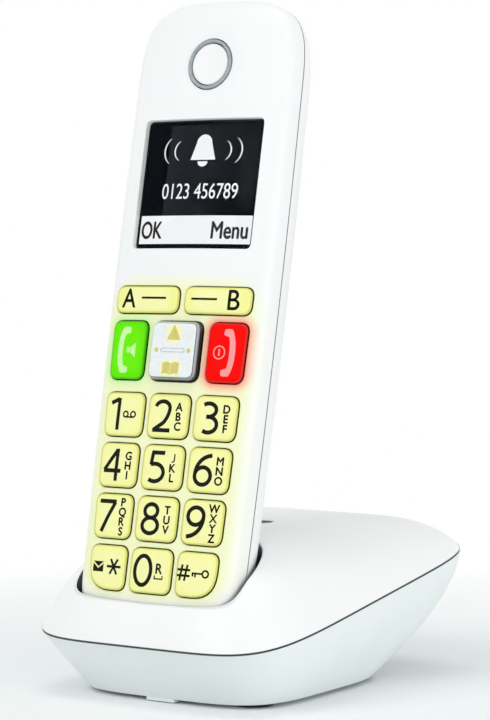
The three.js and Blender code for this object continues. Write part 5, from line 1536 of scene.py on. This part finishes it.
# slot, tones (middle, edge, painted shoulder shade, painted rim shadow), glow, shine, ink, legend
KEY_LOOKS = {
    "key_talk": ("key_green", ((108, 236, 10), (96, 226, 6), (74, 190, 22), (24, 70, 8)),
                 0.07, 0.06, PALE_INK, call_legend),
    "key_end": ("key_red", ((252, 6, 2), (246, 4, 2), (204, 52, 44), (92, 20, 16)),
                0.06, 0.06, PINK_INK, call_legend),
}
CREAM_LOOK = ("key_cream", ((247, 246, 176), (244, 243, 152), (218, 218, 120), (66, 70, 22)),
              0.04, 0.15, INK, key_legend)


def build_keys():
    for node, corners in KEYS.items():
        if node == "key_navigation":
            cap = navigation_key()
            place(cap, node, NAVIGATION, "key_silver", node)
            place(navigation_legend(cap), node, GOLD_INK, "key_silver")
            continue
        slot, tones, glow, shine, ink, legend = KEY_LOOKS.get(node, CREAM_LOOK)
        cap = key_cap(node + "_cap", corners)
        left, right, low, high = extent(corners)
        block = (((left + right) / 2, (low + high) / 2), ((right - left) / 2, (high - low) / 2))
        plastic = key_plastic(node + "_plastic", *[linear(*tone) for tone in tones], glow, block, shine)
        place(cap, node, plastic, slot, node)
        place(legend(node, cap), node, ink, slot)


def build_base():
    place(top_shell(), "base", TOP_WHITE, "white_shell", "base_top_shell")
    place(bottom_shell(), "base", LOW_WHITE, "white_shell", "base_bottom_shell")
    place(paging_key(), "paging_key", PAGING, "paging_grey", "paging_key")
    for name in FEET:
        place(foot(name), "base", RUBBER, "foot_rubber", name)
    for name in SOCKETS:
        place(socket(name), "base", SOCKET, "black_plastic", name)
        place(socket_contacts(name), "base", GOLD, "gold_plate")
    for side, sign in SIDES:
        centre = (sign * BASE_SCREW[0], BASE_SCREW[1])
        screw = screw_head("base_case_screw_" + side, centre, False, 1.9, 1.1, 8.0)
        place(screw, "base", STEEL, "steel", "base_screw_" + side)
        place(charge_pin(side, sign), "charge_pin_" + side, GOLD, "steel", "charge_pin_" + side)


def finish_inner_nodes():
    """Better materials for the CAD pieces whose shape is kept."""
    kept = {
        "display_frame": BLACK, "earpiece_speaker": SPEAKER, "ringer_speaker": SPEAKER, "keypad_mat": SILICONE,
        "handset_board": BOARD, "base_board": BOARD, "microphone": STEEL, "handset_antenna": GOLD,
        "base_antenna": GOLD, "battery_plate": STEEL, "battery_cell_left": WRAP, "battery_cell_right": WRAP,
        "battery_spring_left": STEEL, "battery_spring_right": STEEL, "paging_switch": BLACK,
    }
    for node, material in kept.items():
        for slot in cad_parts[node].material_slots:
            slot.material = material


# ---------------------------------------------------------------- stage
FLOOR_TONE = (0.95, 0.965, 0.97)
FLOOR_RADII = (0.02, 0.1, 0.25, 0.6, 1.2, 2.5, 6.0)  # metres
FADE_START, FADE_END = 0.08, 0.26  # where the floor turns to white, in metres
WORLD_TINT, WORLD_LEVEL = (0.955, 1.0, 0.995, 1.0), 0.615
LAMP_TINT = (1.0, 0.98, 0.98)
PURE_WHITE = (1, 1, 1, 1)


def backdrop_rays(tree):
    """1 for the rays that see the backdrop as plain white."""
    path = tree.nodes.new("ShaderNodeLightPath")
    seen = path.outputs["Is Camera Ray"]
    for other in ("Is Glossy Ray", "Is Transmission Ray"):
        larger = tree.nodes.new("ShaderNodeMath")
        larger.operation = "MAXIMUM"
        tree.links.new(seen, larger.inputs[0])
        tree.links.new(path.outputs[other], larger.inputs[1])
        seen = larger.outputs[0]
    return seen


def build_floor():
    """A plain pale floor that keeps the object's shadow and turns to white further out."""
    rings = [level(circle(radius / MM, ROUND), 0) for radius in FLOOR_RADII]
    points, faces = loft(rings, capped=False)
    faces += [(len(points), (i + 1) % ROUND, i) for i in range(ROUND)]
    floor = new_object("floor", np.vstack([points, rings[0].mean(0)]), faces, local=False)
    surface = Surface("floor_matte").set(Roughness=0.9, Specular_IOR_Level=0.0)
    surface.paint(surface.wander((*FLOOR_TONE, 1.0), (*[c * 0.997 for c in FLOOR_TONE], 1.0), 30))
    far = surface.between(surface.vector("LENGTH", surface.space), 0, 1, FADE_START, FADE_END)
    white = surface.node("ShaderNodeEmission")
    surface.fill(white, Color=PURE_WHITE, Strength=1.0)
    blend = surface.node("ShaderNodeMixShader")
    share = surface.times(far, backdrop_rays(surface.tree))
    surface.feed(blend.inputs, (share, surface.shader.outputs[0], white.outputs[0]))
    surface.join(blend.outputs[0], surface.tree.nodes["Material Output"].inputs["Surface"])
    floor.data.materials.append(surface.material)


def build_world():
    """An even light of a faint tint, seen as plain white by the camera and in reflections."""
    world = bpy.data.worlds.new("studio")
    scene.world = world
    world.use_nodes = True
    tree = world.node_tree
    tree.nodes.clear()
    mixed = tree.nodes.new("ShaderNodeMixShader")
    tree.links.new(backdrop_rays(tree), mixed.inputs[0])
    for socket, colour, strength in ((1, WORLD_TINT, WORLD_LEVEL), (2, PURE_WHITE, 1.0)):
        light = tree.nodes.new("ShaderNodeBackground")
        light.inputs["Color"].default_value = colour
        light.inputs["Strength"].default_value = strength
        tree.links.new(light.outputs[0], mixed.inputs[socket])
    output = tree.nodes.new("ShaderNodeOutputWorld")
    tree.links.new(mixed.outputs[0], output.inputs["Surface"])


def lamp(name, location, target, size, power):
    """A rectangular lamp aimed at a point; lengths in metres."""
    data = bpy.data.lights.new(name, "AREA")
    data.shape = "RECTANGLE"
    data.size, data.size_y = size
    data.energy = power
    data.color = LAMP_TINT
    obj = bpy.data.objects.new(name, data)
    scene.collection.objects.link(obj)
    obj.location = location
    obj.rotation_euler = (Vector(target) - Vector(location)).to_track_quat("-Z", "Y").to_euler()


def build_camera():
    data = bpy.data.cameras.new("camera")
    data.lens = 126.65
    data.sensor_width = 36
    data.clip_start = 0.05
    data.clip_end = 50
    camera = bpy.data.objects.new("camera", data)
    scene.collection.objects.link(camera)
    camera.location = (0.39505, -0.59552, 0.12644)
    camera.rotation_euler = (math.radians(90 - 2.850), 0, math.radians(33.588))
    scene.camera = camera


build_camera()
build_handset()
build_keys()
build_base()
finish_inner_nodes()
build_floor()
build_world()
lamp("key_lamp", (-0.92, -1.97, 1.5), (0, -0.02, 0.08), (1.1, 1.1), 15.3)
lamp("side_lamp", (2.0, -0.3, 0.3), (0, 0, 0.1), (1.2, 0.5), 11.5)
lamp("top_lamp", (0.1, -0.2, 2.4), (0, 0, 0.05), (1.2, 1.2), 9.3)
scene.view_settings.view_transform = "Standard"
